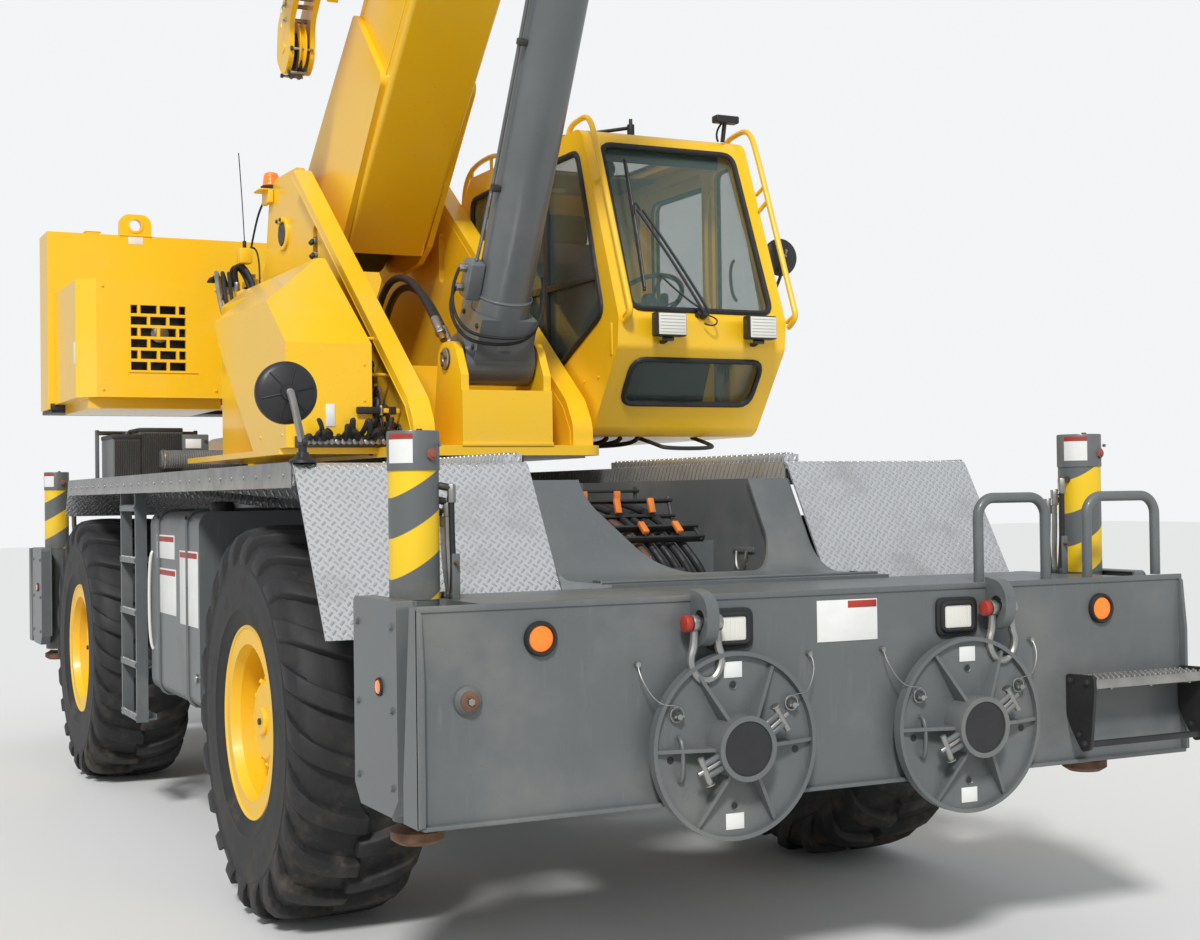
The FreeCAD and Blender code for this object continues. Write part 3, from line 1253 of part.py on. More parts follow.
def hook_block():
    """Hangs upright below the head sheaves' axle, which is its origin."""
    drop = 700
    shell = plate("hook_cheeks", "YZ_Plane", [
        (-190, -drop - 120, 90), (-190, -drop + 120, 90), (-90, -drop + 230, 60), (90, -drop + 230, 60),
        (190, -drop + 120, 90), (190, -drop - 120, 90), (100, -drop - 260, 40), (-100, -drop - 260, 40),
    ], -150, 150)
    inner = slab("hook_gap", (-128, 128), (-260, 260), (-drop - 215, -drop + 300))
    line = d.ropeDiameter
    frame_piece = cut("hook_frame", shell, [inner])
    stack = sheave_stack(4, 70, -105, 6)
    sheave = spun("hook_sheave", "X", [(0, -140), (45, -140), (45, -125)] + stack + [(45, 125), (45, 140), (0, 140)],
                  (0, 0, -drop))
    shank = spun("hook_shank", "Z", [
        (0, -drop - 345), (45, -drop - 345), (32, -drop - 300), (32, -drop - 275), (60, -drop - 275),
        (60, -drop - 235), (0, -drop - 235),
    ])
    bowl = doc.addObject("Part::Torus", "hook_bowl")
    bind(bowl, "Radius1", 85)
    bind(bowl, "Radius2", 30)
    bowl.Placement = FreeCAD.Placement(Vector(), TURN["X"])
    anchor(bowl, (0, 0, -drop - 430))
    gap = slab("hook_throat", (-60, 60), (-200, 0), (-drop - 440, -drop - 350))
    hook = cut("hook_shape", bowl, [gap])
    falls = []
    away = d.sheaveDiameter / 2
    for index in range(4):
        for y in (-away, away):
            falls.append(rod(f"hook_fall_{len(falls)}", (-105 + 70 * index, y, -drop), line, drop))
    return fuse("hook_block_solid", [frame_piece, sheave, shank, hook] + falls)


def lattice_side(name, xs, base, tip, bays):
    """One side of the lattice: a tapered plate frame with a row of triangular windows."""
    chord, web = 70, 55
    (s_base, low_base, high_base), (s_tip, low_tip, high_tip) = base, tip
    frame_plate = plate(name, "YZ_Plane", [
        (-s_base, low_base), (-s_base, high_base), (-s_tip, high_tip), (-s_tip, low_tip),
    ], *xs)

    def level(s, first, last):
        return first + (last - first) * ((s - s_base) / (s_tip - s_base))

    windows = []
    pitch = (s_tip - s_base) / bays
    for bay in range(bays):
        near, far = s_base + pitch * bay, s_base + pitch * (bay + 1)
        top = [level(s, high_base, high_tip) - chord for s in (near, far)]
        foot = [level(s, low_base, low_tip) + chord for s in (near, far)]
        # The brace rises in one bay and falls in the next.
        if bay % 2 == 0:
            braces = [[(near - web, foot[0] + web), (near - web, top[0]), (far + 2 * web, top[1])],
                      [(near - 2 * web, foot[0]), (far + web, foot[1]), (far + web, top[1] - web)]]
        else:
            braces = [[(near - web, top[0] - web), (near - web, foot[0]), (far + 2 * web, foot[1])],
                      [(near - 2 * web, top[0]), (far + web, top[1]), (far + web, foot[1] + web)]]
        for index, corners in enumerate(braces):
            windows.append(plate(f"{name}_window_{bay}_{index}", "YZ_Plane",
                                 [(-s, z) for s, z in corners], xs[0] - 5, xs[1] + 5))
    return cut(f"{name}_open", frame_plate, windows)


def stowed_extension():
    """Swing-away extension on the boom's right side: a tapered lattice with a sheave at its tip."""
    near, far = -d.boomHalf - 150, -d.boomHalf - 470
    chord, bays = 60, 9
    base = (9000, -60, 440)
    tip = (1560, 70, 330)
    pieces = []
    for name, x in (("ext_near_side", near - chord), ("ext_far_side", far)):
        pieces.append(lattice_side(name, (x, x + chord), [size(v) for v in base], [size(v) for v in tip], bays))
    inner_x = (far + chord - 5, near - chord + 5)
    pitch = (base[0] - tip[0]) / bays
    for bay in range(bays + 1):
        s = base[0] - pitch * bay
        share = bay / bays
        low = base[1] + (tip[1] - base[1]) * share
        high = base[2] + (tip[2] - base[2]) * share
        shift = -30 if bay == bays else 30 if bay == 0 else 0
        for spot, z in (("low", low + 15), ("high", high - 55)):
            pieces.append(slab(f"ext_cross_{spot}_{bay}", inner_x, (-s + shift - 20, -s + shift + 20), (z, z + 40)))
        if bay < bays:
            after = share + 1 / bays
            ends = ((inner_x[0], inner_x[1]) if bay % 2 == 0 else (inner_x[1], inner_x[0]))
            for spot, row, off in (("low", 1, 35), ("high", 2, -35)):
                z = base[row] + (tip[row] - base[row]) * share + off
                z_after = base[row] + (tip[row] - base[row]) * after + off
                pieces.append(strut(f"ext_brace_{spot}_{bay}", (ends[0], -s + 25, z), (ends[1], -s + pitch - 25, z_after),
                                    36))
    middle = (near + far) / 2
    for index, x in enumerate((middle - 75, middle + 45)):
        pieces.append(plate(f"ext_tip_plate_{index}", "YZ_Plane", [
            (-1700, 110, 40), (-1700, 290, 40), (-1250, 300, 80), (-1090, 180, 90), (-1090, -20, 90),
            (-1250, -20, 90), (-1400, 110, 120),
        ], x, x + 30))
    pieces.append(slab("ext_tip_cross", (far + chord - 5, near - chord + 5), (-1640, -1600), (140, 260)))
    wheel_rim, hub = 150, 60
    pieces.append(spun("ext_tip_sheave", "X", [
        (0, -80), (hub / 2, -80), (hub / 2, -20), (wheel_rim, -20), (wheel_rim, -14), (wheel_rim - 20, -4),
        (wheel_rim - 20, 4), (wheel_rim, 14), (wheel_rim, 20), (hub / 2, 20), (hub / 2, 80), (0, 80),
    ], (middle, -1220, 110)))
    for index, s in enumerate((3200, 8200)):
        pieces.append(slab(f"ext_bracket_{index}", (near - 10, -d.boomHalf), (-s - 60, -s), (60, 170)))
    return fuse("stowed_extension_solid", pieces)


part("chassis_frame", chassis_frame())
part("decks", fuse("decks_solid", [deck_side(sign, side) for side, sign in SIDES]))
for name, end in ENDS:
    part(f"{name}_outrigger_box", outrigger_box(name, end))
    part(f"{name}_axle", axle(name, end))
    for side, sign in SIDES:
        outrigger(name, end, side, sign)
        wheel(name, end, side, sign)
part("side_tanks", side_tanks())
part("ladders", ladders())
part("grab_hoops", fuse("grab_hoops_solid", [hoop("hoop_inner", 650, 960), hoop("hoop_outer", 1160, 1500)]))
part("stowed_floats", stowed_floats())
part("cooling_pack", cooling_pack())
part("deck_mirror", deck_mirror())
part("swing_bearing", swing_bearing())
part("engine", slab("engine_block", (-400, 400), (2450, 3250), (1100, 1900)))
part("engine_hood", engine_hood())
part("turntable", turntable())
part("counterweight", counterweight())
part("ballast_eyes", ballast_eyes())
part("cooler_box", cooler_box())
part("main_hoist", hoist("main_hoist", 2160, 2985))
part("aux_hoist", hoist("aux_hoist", 2790, 2985))
part("valve_cover", valve_cover())
cab_openings = cab_windows()
part("cab_shell", cab_shell(cab_openings))
part("cab_glass", cab_glass(cab_openings))
part("cab_seat", cab_seat())
part("cab_mirror", cab_mirror())
part("cab_door", cab_door())
lift_cylinder()
part("boom_foot_pin", foot_pin(), "boom")
part("boom_base", boom_base(), "boom")
part("boom_mid_1", boom_section("mid_1", 1, size(900), d.boomBaseEnd + 200), "boom")
part("boom_mid_2", boom_section("mid_2", 2, size(1100), d.boomBaseEnd + 400), "boom")
part("boom_fly", boom_head(), "boom")
part("head_sheaves", head_sheaves(), "boom")
part("hook_block", hook_block(), "head")
part("stowed_extension", stowed_extension(), "boom")

doc.recompute()
faults = [item.Name for item in doc.Objects if {"Invalid", "Error"} & set(item.State)]
for item in parts:
    if item.Shape.isNull() or not item.Shape.isValid():
        faults.append(item.Label)
if faults:
    raise RuntimeError("failed: " + ", ".join(faults))

os.makedirs("parts", exist_ok=True)
for item in parts:
    item.Shape.exportStep(f"parts/{item.Label}.step")
    print(item.Label, len(item.Shape.Solids), round(item.Shape.Volume / 1e9, 4))
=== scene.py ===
import math
import random

import bmesh
import bpy
from mathutils import Matrix, Vector


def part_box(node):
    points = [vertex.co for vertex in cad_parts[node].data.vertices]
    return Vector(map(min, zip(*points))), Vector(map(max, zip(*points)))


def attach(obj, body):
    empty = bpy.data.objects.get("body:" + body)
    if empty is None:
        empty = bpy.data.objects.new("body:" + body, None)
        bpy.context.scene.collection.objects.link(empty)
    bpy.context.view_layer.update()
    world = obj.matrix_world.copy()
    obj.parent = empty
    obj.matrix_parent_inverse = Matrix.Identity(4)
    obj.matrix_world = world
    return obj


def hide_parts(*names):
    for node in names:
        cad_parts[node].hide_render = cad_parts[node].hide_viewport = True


# Rough-terrain crane. Metres, +Z up, the front faces -Y and the cab is on +X.
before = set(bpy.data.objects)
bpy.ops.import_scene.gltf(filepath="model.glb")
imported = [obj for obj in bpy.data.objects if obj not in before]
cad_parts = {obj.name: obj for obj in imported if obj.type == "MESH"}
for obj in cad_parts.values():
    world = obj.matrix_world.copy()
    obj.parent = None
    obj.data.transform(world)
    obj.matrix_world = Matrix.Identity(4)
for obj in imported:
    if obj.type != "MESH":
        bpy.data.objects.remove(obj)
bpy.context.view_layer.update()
print("frame loaded", len(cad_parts), "nodes")

# Sizes below run from the swing axis, so every place along Y gets this shift.
bearingLow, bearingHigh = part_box("swing_bearing")
swingY = (bearingLow.y + bearingHigh.y) / 2
boomAngle = math.radians(44.3)
liftAngle = math.radians(61.823)
pivot = Vector((0, 1.300 + swingY, 3.330))
liftFoot = Vector((0, -0.970 + swingY, 2.390))
boomPlace = Matrix.Translation(pivot) @ Matrix.Rotation(-boomAngle, 4, "X")
liftPlace = Matrix.Translation(liftFoot) @ Matrix.Rotation(-liftAngle, 4, "X")
crane = Matrix.Translation((0, swingY, 0))
sides = (("right", -1), ("left", 1))
ends = (("front", -1), ("rear", 1))


# Node arithmetic for the finishes
class Recipe:
    def __init__(self, name):
        self.look = bpy.data.materials.new(name)
        self.look.use_nodes = True
        self.nodes = self.look.node_tree.nodes
        self.links = self.look.node_tree.links
        self.shader = self.nodes["Principled BSDF"]
        self.coords = self.nodes.new("ShaderNodeTexCoord").outputs["Object"]

    def link(self, value, socket):
        if hasattr(value, "links"):
            self.links.new(value, socket)
        else:
            socket.default_value = value

    def math(self, operation, first, second=0.0, third=0.0):
        node = self.nodes.new("ShaderNodeMath")
        node.operation = operation
        for value, socket in zip((first, second, third), node.inputs):
            self.link(value, socket)
        return node.outputs[0]

    def axes(self, turn=(0, 0, 0), scale=(1, 1, 1)):
        mapping = self.nodes.new("ShaderNodeMapping")
        mapping.inputs["Rotation"].default_value = turn
        mapping.inputs["Scale"].default_value = scale
        self.links.new(self.coords, mapping.inputs["Vector"])
        split = self.nodes.new("ShaderNodeSeparateXYZ")
        self.links.new(mapping.outputs[0], split.inputs[0])
        return mapping.outputs[0], split.outputs

    def noise(self, size, detail=4.0, rough=0.55, stretch=(1, 1, 1), turn=(0, 0, 0)):
        vector, parts = self.axes(turn, stretch)
        node = self.nodes.new("ShaderNodeTexNoise")
        node.inputs["Scale"].default_value = 1 / size
        node.inputs["Detail"].default_value = detail
        node.inputs["Roughness"].default_value = rough
        self.links.new(vector, node.inputs["Vector"])
        return node.outputs["Fac"]

    def span(self, value, low, high, outLow=0.0, outHigh=1.0):
        node = self.nodes.new("ShaderNodeMapRange")
        node.interpolation_type = "SMOOTHSTEP"
        self.link(value, node.inputs["Value"])
        for key, amount in (("From Min", low), ("From Max", high), ("To Min", outLow), ("To Max", outHigh)):
            node.inputs[key].default_value = amount
        return node.outputs[0]

    def mix(self, factor, first, second):
        node = self.nodes.new("ShaderNodeMix")
        node.data_type = "RGBA"
        self.link(factor, node.inputs["Factor"])
        for value, index in ((first, 6), (second, 7)):
            if hasattr(value, "links"):
                self.links.new(value, node.inputs[index])
            else:
                node.inputs[index].default_value = (*value, 1)
        return node.outputs[2]

    def bump(self, height, strength, distance):
        node = self.nodes.new("ShaderNodeBump")
        node.inputs["Strength"].default_value = strength
        node.inputs["Distance"].default_value = distance
        self.links.new(height, node.inputs["Height"])
        self.links.new(node.outputs[0], self.shader.inputs["Normal"])

    def put(self, **values):
        for key, value in values.items():
            self.link(value, self.shader.inputs[key.replace("_", " ")])


def paint(name, colour, dust, roughness=0.34, dustAmount=0.35, coat=0.25):
    # sprayed enamel: soft orange peel, dust in cloudy patches, a few streaks
    mat = Recipe(name)
    cloud = mat.span(mat.noise(0.55, 6, 0.62), 0.42, 0.78)
    streak = mat.span(mat.noise(0.10, 3, 0.6, (6, 6, 0.5)), 0.55, 0.85)
    speck = mat.span(mat.noise(0.012, 2, 0.5), 0.66, 0.74)
    veil = mat.math("MULTIPLY", mat.math("MAXIMUM", cloud, mat.math("MULTIPLY", streak, 0.6)), dustAmount)
    shade = mat.mix(mat.span(mat.noise(1.4, 3), 0.3, 0.7, 0.0, 0.10), colour, tuple(c * 0.82 for c in colour))
    dusty = mat.mix(veil, shade, dust)
    mat.put(Base_Color=mat.mix(mat.math("MULTIPLY", speck, 0.22), dusty, tuple(c * 0.35 for c in colour)),
            Roughness=mat.span(veil, 0.0, 0.4, roughness, roughness + 0.25), Coat_Weight=coat,
            Coat_Roughness=0.12, Specular_IOR_Level=0.5)
    mat.bump(mat.noise(0.004, 2, 0.5), 0.05, 0.0015)
    return mat.look


def plain(name, colour, roughness, metallic=0.0, grain=0.003, depth=0.12, vary=0.25, **extra):
    mat = Recipe(name)
    tone = mat.span(mat.noise(0.09, 5, 0.6), 0.3, 0.75)
    dark = tuple(c * (1 - vary) for c in colour)
    mat.put(Base_Color=mat.mix(tone, colour, dark), Metallic=metallic,
            Roughness=mat.span(mat.noise(0.03, 4), 0.3, 0.7, roughness * 0.85, min(1, roughness * 1.2)), **extra)
    mat.bump(mat.noise(grain, 3), depth, 0.001)
    return mat.look


def treadPlate():
    # raised bars that cross in a basket pattern on bright aluminium
    mat = Recipe("treadPlate")
    vector, parts = mat.axes()
    along = mat.math("SIGN", mat.math("SUBTRACT", parts[1], swingY))
    run = mat.math("SUBTRACT", parts[1], mat.math("MULTIPLY", mat.math("MULTIPLY", parts[2], 0.5637), along))
    cell = 0.026
    first = mat.math("DIVIDE", mat.math("ADD", parts[0], run), cell * 1.4142)
    second = mat.math("DIVIDE", mat.math("SUBTRACT", parts[0], run), cell * 1.4142)
    parity = mat.math("MODULO", mat.math("ABSOLUTE", mat.math("ADD", mat.math("FLOOR", first),
                                                              mat.math("FLOOR", second))), 2.0)
    offA = mat.math("ABSOLUTE", mat.math("SUBTRACT", mat.math("FRACT", first), 0.5))
    offB = mat.math("ABSOLUTE", mat.math("SUBTRACT", mat.math("FRACT", second), 0.5))
    longWay = mat.math("ADD", mat.math("MULTIPLY", offA, parity),
                       mat.math("MULTIPLY", offB, mat.math("SUBTRACT", 1.0, parity)))
    shortWay = mat.math("ADD", mat.math("MULTIPLY", offB, parity),
                        mat.math("MULTIPLY", offA, mat.math("SUBTRACT", 1.0, parity)))
    bar = mat.math("MULTIPLY", mat.span(longWay, 0.36, 0.46, 1, 0), mat.span(shortWay, 0.10, 0.20, 1, 0))
    soil = mat.span(mat.noise(0.25, 6, 0.65), 0.45, 0.8, 0.0, 0.6)
    mat.put(Base_Color=mat.mix(mat.math("MULTIPLY", soil, mat.math("SUBTRACT", 1.0, bar)), (0.62, 0.63, 0.64),
                               (0.30, 0.29, 0.27)),
            Metallic=0.75, Roughness=mat.span(bar, 0, 1, 0.46, 0.26))
    mat.bump(bar, 0.9, 0.004)
    return mat.look


def stripes():
    # yellow and grey warning bands that wind up a jack tube
    mat = Recipe("stripes")
    vector, parts = mat.axes()
    rise = mat.math("SUBTRACT", parts[2], mat.math("MULTIPLY", parts[0], 0.62))
    band = mat.math("FRACT", mat.math("DIVIDE", rise, 0.262))
    edge = mat.math("MULTIPLY", mat.span(band, 0.0, 0.012), mat.span(band, 0.50, 0.512, 1, 0))
    veil = mat.span(mat.noise(0.2, 6, 0.62), 0.45, 0.8, 0.0, 0.35)
    mat.put(Base_Color=mat.mix(veil, mat.mix(edge, (0.115, 0.122, 0.122), (0.86, 0.56, 0.012)), (0.32, 0.28, 0.21)),
            Roughness=0.42)
    mat.bump(mat.noise(0.004, 2), 0.05, 0.0015)
    return mat.look


def tyreRubber():
    mat = Recipe("tyreRubber")
    vector, parts = mat.axes()
    mud = mat.span(mat.noise(0.16, 8, 0.7), 0.46, 0.76)
    scuff = mat.span(mat.noise(0.03, 5, 0.7, (1, 1, 1)), 0.58, 0.8)
    low = mat.span(parts[2], 0.05, 0.9, 0.55, 0.12)
    mat.put(Base_Color=mat.mix(mat.math("MULTIPLY", mud, low), mat.mix(scuff, (0.020, 0.020, 0.021),
                                                                        (0.055, 0.052, 0.048)),
                               (0.20, 0.165, 0.12)),
            Roughness=mat.span(mud, 0, 1, 0.62, 0.92), Specular_IOR_Level=0.4)
    mat.bump(mat.noise(0.008, 6, 0.7), 0.35, 0.003)
    return mat.look


def clearGlass(name, colour, alpha):
    mat = Recipe(name)
    smear = mat.span(mat.noise(0.2, 5), 0.4, 0.8, 0.03, 0.10)
    mat.put(Base_Color=(*colour, 1), Roughness=smear, Alpha=alpha, Specular_IOR_Level=0.9, Coat_Weight=0.4)
    mat.look.surface_render_method = "BLENDED"
    return mat.look


def lens(name, colour, glow=0.0):
    mat = Recipe(name)
    vector, parts = mat.axes()
    ribs = mat.math("MULTIPLY", mat.math("SINE", mat.math("MULTIPLY", parts[0], 900)),
                    mat.math("SINE", mat.math("MULTIPLY", parts[2], 900)))
    mat.put(Base_Color=(*colour, 1), Roughness=0.12, Coat_Weight=0.7, Coat_Roughness=0.04,
            Emission_Color=(*colour, 1), Emission_Strength=glow)
    mat.bump(ribs, 0.35, 0.001)
    return mat.look


dustColour = (0.50, 0.44, 0.33)
looks = {
    "craneYellow": paint("craneYellow", (0.93, 0.545, 0.012), (0.80, 0.56, 0.16), 0.30, 0.22, 0.35),
    "wheelYellow": paint("wheelYellow", (0.92, 0.53, 0.012), (0.55, 0.40, 0.16), 0.42, 0.40, 0.10),
    "carrierGrey": paint("carrierGrey", (0.112, 0.122, 0.124), (0.26, 0.25, 0.22), 0.40, 0.45, 0.15),
    "cylinderGrey": paint("cylinderGrey", (0.125, 0.135, 0.138), (0.26, 0.26, 0.25), 0.34, 0.25, 0.30),
    "treadPlate": treadPlate(),
    "stripes": stripes(),
    "tyreRubber": tyreRubber(),
    "blackPaintAndPaintedShade": plain("blackPaintAndPaintedShade", (0.022, 0.022, 0.023), 0.45),
    "blackRubber": plain("blackRubber", (0.018, 0.018, 0.019), 0.62, grain=0.002),
    "darkSteel": plain("darkSteel", (0.085, 0.082, 0.078), 0.5, 0.6),
    "rustySteel": plain("rustySteel", (0.20, 0.105, 0.06), 0.75, 0.2, vary=0.5),
    "bareSteel": plain("bareSteel", (0.42, 0.41, 0.39), 0.38, 0.9),
    "chromeRod": plain("chromeRod", (0.78, 0.79, 0.80), 0.12, 1.0, depth=0.02, vary=0.05),
    "wireRope": plain("wireRope", (0.26, 0.25, 0.23), 0.45, 0.8, grain=0.004, depth=0.6),
    "brass": plain("brass", (0.55, 0.38, 0.14), 0.35, 1.0),
    "redPaint": plain("redPaint", (0.42, 0.035, 0.02), 0.5),
    "rustRed": plain("rustRed", (0.33, 0.11, 0.07), 0.65, vary=0.4),
    "orangeStrap": plain("orangeStrap", (0.80, 0.22, 0.03), 0.6),
    "labelWhite": plain("labelWhite", (0.78, 0.78, 0.75), 0.45, vary=0.08),
    "seatCloth": plain("seatCloth", (0.055, 0.058, 0.062), 0.9, grain=0.004, depth=0.5),
    "innerGrey": plain("innerGrey", (0.16, 0.16, 0.155), 0.7),
    "amberLens": lens("amberLens", (0.95, 0.20, 0.01), 0.25),
    "redLens": lens("redLens", (0.55, 0.02, 0.01), 0.05),
    "lampGlass": lens("lampGlass", (0.75, 0.74, 0.66), 0.0),
    "reflector": plain("reflector", (0.80, 0.80, 0.78), 0.08, 1.0, depth=0.0, vary=0.02),
    "cabGlass": clearGlass("cabGlass", (0.10, 0.16, 0.14), 0.30),
    "mirrorGlass": plain("mirrorGlass", (0.75, 0.77, 0.80), 0.03, 1.0, depth=0.0, vary=0.02),
}
print("finishes made", len(looks))


# Shapes: each returns a bmesh of its own, which a piece then takes in
def boxShape(low, high, bevel=0.0, segments=2):
    bm = bmesh.new()
    low, high = Vector(low), Vector(high)
    bmesh.ops.create_cube(bm, size=1)
    bmesh.ops.scale(bm, vec=high - low, verts=bm.verts)
    bmesh.ops.translate(bm, vec=(low + high) / 2, verts=bm.verts)
    return rounded(bm, bevel, segments)


def rounded(bm, bevel, segments=2, sharp=0.6):
    if bevel > 0:
        edges = [e for e in bm.edges if e.calc_face_angle(0) > sharp]
        bmesh.ops.bevel(bm, geom=edges, offset=bevel, segments=segments, profile=0.5, affect="EDGES", material=-1)
    return bm


def rodShape(start, end, radius, segments=24, bevel=0.0, endRadius=None):
    bm = bmesh.new()
    start, end = Vector(start), Vector(end)
    span = end - start
    place = Matrix.Translation((start + end) / 2) @ span.to_track_quat("Z", "Y").to_matrix().to_4x4()
    bmesh.ops.create_cone(bm, cap_ends=True, segments=segments, radius1=radius,
                          radius2=radius if endRadius is None else endRadius, depth=span.length, matrix=place)
    return rounded(bm, bevel, 2, 1.0)


def spinShape(profile, centre, axis, segments=48):
    # profile: (radius, distance along the axis)
    bm = bmesh.new()
    verts = [bm.verts.new((r, 0, t)) for r, t in profile]
    edges = [bm.edges.new(pair) for pair in zip(verts, verts[1:])]
    bmesh.ops.spin(bm, geom=verts + edges, cent=(0, 0, 0), axis=(0, 0, 1), dvec=(0, 0, 0), angle=math.tau,
                   steps=segments, use_merge=True)
    bmesh.ops.remove_doubles(bm, verts=bm.verts, dist=1e-5)
    bmesh.ops.transform(bm, matrix=Matrix.Translation(centre) @ Vector(axis).to_track_quat("Z", "Y").to_matrix()
                        .to_4x4(), verts=bm.verts)
    bmesh.ops.recalc_face_normals(bm, faces=bm.faces)
    return bm


def plateShape(outline, plane, low, high, bevel=0.0, segments=2):
    # outline in the two other axes, in X, Y, Z order
    bm = bmesh.new()
    spots = []
    for first, second in outline:
        spot = [first, second]
        spot.insert("xyz".index(plane), low)
        spots.append(bm.verts.new(spot))
    face = bm.faces.new(spots)
    grown = bmesh.ops.extrude_face_region(bm, geom=[face])
    move = Vector((0, 0, 0))
    move["xyz".index(plane)] = high - low
    bmesh.ops.translate(bm, vec=move, verts=[v for v in grown["geom"] if isinstance(v, bmesh.types.BMVert)])
    bmesh.ops.recalc_face_normals(bm, faces=bm.faces)
    return rounded(bm, bevel, segments)


def pipeShape(points, radius, smooth=True, sides=10, closed=False):
    curve = bpy.data.curves.new("run", "CURVE")
    curve.dimensions = "3D"
    curve.bevel_depth = radius
    curve.bevel_resolution = max(1, sides // 4)
    curve.use_fill_caps = True
    spline = curve.splines.new("NURBS" if smooth else "POLY")
    spline.points.add(len(points) - 1)
    for spot, point in zip(spline.points, points):
        spot.co = (*point, 1)
    spline.use_cyclic_u = closed
    if smooth:
        spline.order_u = 3
        spline.use_endpoint_u = not closed
        spline.resolution_u = 6
    holder = bpy.data.objects.new("run", curve)
    bpy.context.scene.collection.objects.link(holder)
    mesh = bpy.data.meshes.new_from_object(holder.evaluated_get(bpy.context.evaluated_depsgraph_get()))
    bm = bmesh.new()
    bm.from_mesh(mesh)
    bpy.data.objects.remove(holder)
    bpy.data.meshes.remove(mesh)
    return bm


def rounding(points, radius, steps=4):
    # rounds each corner of an outline
    out = []
    count = len(points)
    for index in range(count):
        here = Vector(points[index])
        before, after = Vector(points[index - 1]), Vector(points[(index + 1) % count])
        reach = min(radius, (before - here).length * 0.45, (after - here).length * 0.45)
        start = here + (before - here).normalized() * reach
        end = here + (after - here).normalized() * reach
        for step in range(steps + 1):
            t = step / steps
            out.append(tuple(start * (1 - t) ** 2 + here * 2 * t * (1 - t) + end * t ** 2))
    return out


class Piece:
    def __init__(self, name, body, slot, place=crane):
        self.name, self.body, self.slot, self.place = name, body, slot, place
        self.bm = bmesh.new()
        self.looks = []

    def add(self, shape, look, turn=None):
        if look not in self.looks:
            self.looks.append(look)
        index = self.looks.index(look)
        for face in shape.faces:
            face.material_index = index
            face.smooth = True
        if turn is not None:
            bmesh.ops.transform(shape, matrix=turn, verts=shape.verts)
            if turn.determinant() < 0:
                bmesh.ops.reverse_faces(shape, faces=shape.faces)
        mesh = bpy.data.meshes.new("shape")
        shape.to_mesh(mesh)
        shape.free()
        self.bm.from_mesh(mesh)
        bpy.data.meshes.remove(mesh)
        return self

    def box(self, low, high, look, bevel=0.004, segments=2, turn=None):
        return self.add(boxShape(low, high, bevel, segments), look, turn)

    def rod(self, start, end, radius, look, segments=24, bevel=0.0, endRadius=None, turn=None):
        return self.add(rodShape(start, end, radius, segments, bevel, endRadius), look, turn)

    def spin(self, profile, centre, axis, look, segments=48, turn=None):
        return self.add(spinShape(profile, centre, axis, segments), look, turn)

    def plate(self, outline, plane, low, high, look, bevel=0.003, segments=2, turn=None):
        return self.add(plateShape(outline, plane, low, high, bevel, segments), look, turn)

    def pipe(self, points, radius, look, smooth=True, sides=10, closed=False, turn=None):
        return self.add(pipeShape(points, radius, smooth, sides, closed), look, turn)

    def bolt(self, spot, axis, size, look="darkSteel", washer=True, turn=None):
        axis = Vector(axis).normalized()
        spot = Vector(spot)
        if washer:
            self.rod(spot, spot + axis * size * 0.25, size * 1.25, look, 16, turn=turn)
        self.rod(spot, spot + axis * size * 0.9, size * 0.9, look, 6, size * 0.1, turn=turn)
        return self

    def finish(self, *replaced, sharp=0.62, keep=False):
        bm = self.bm
        bmesh.ops.transform(bm, matrix=self.place, verts=bm.verts)
        for edge in bm.edges:
            edge.smooth = edge.calc_face_angle(0) < sharp
        mesh = bpy.data.meshes.new(self.name)
        bm.to_mesh(mesh)
        bm.free()
        for name in self.looks:
            mesh.materials.append(looks[name])
        piece = bpy.data.objects.new(self.name, mesh)
        bpy.context.scene.collection.objects.link(piece)
        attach(piece, self.body)
        if replaced:
            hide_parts(*replaced)
        return piece


def repaint(look, *nodes):
    for node in nodes:
        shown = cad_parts[node]
        shown.data.materials.clear()
        shown.data.materials.append(looks[look])


def mirrorTurn():
    return Matrix.Scale(-1, 4, (1, 0, 0))


# CAD nodes whose shape is kept get a finish
repaint("carrierGrey", "chassis_frame", "front_outrigger_box", "rear_outrigger_box", "front_axle", "rear_axle",
        "side_tanks", "ladders", "cooling_pack", "grab_hoops", "stowed_floats",
        *[f"{e}_{s}_{piece}" for e, _ in ends for s, _ in sides for piece in ("beam", "knuckle")])
repaint("treadPlate", "decks")
repaint("wheelYellow", *[f"{e}_{s}_rim" for e, _ in ends for s, _ in sides])
repaint("craneYellow", "turntable", "counterweight", "ballast_eyes", "cooler_box", "main_hoist", "aux_hoist",
        "valve_cover", "cab_shell", "cab_door", "boom_base", "boom_mid_1", "boom_mid_2", "boom_fly", "hook_block",
        "stowed_extension", "engine_hood")
repaint("chromeRod", "lift_rod", *[f"{e}_{s}_jack" for e, _ in ends for s, _ in sides])
repaint("cylinderGrey", "lift_barrel")
repaint("darkSteel", "engine", "swing_bearing", "lift_base_pin", "boom_foot_pin", "head_sheaves", "lift_piston")
repaint("blackPaintAndPaintedShade", "deck_mirror", "cab_mirror")
repaint("seatCloth", "cab_seat")
repaint("cabGlass", "cab_glass")
print("nodes painted")


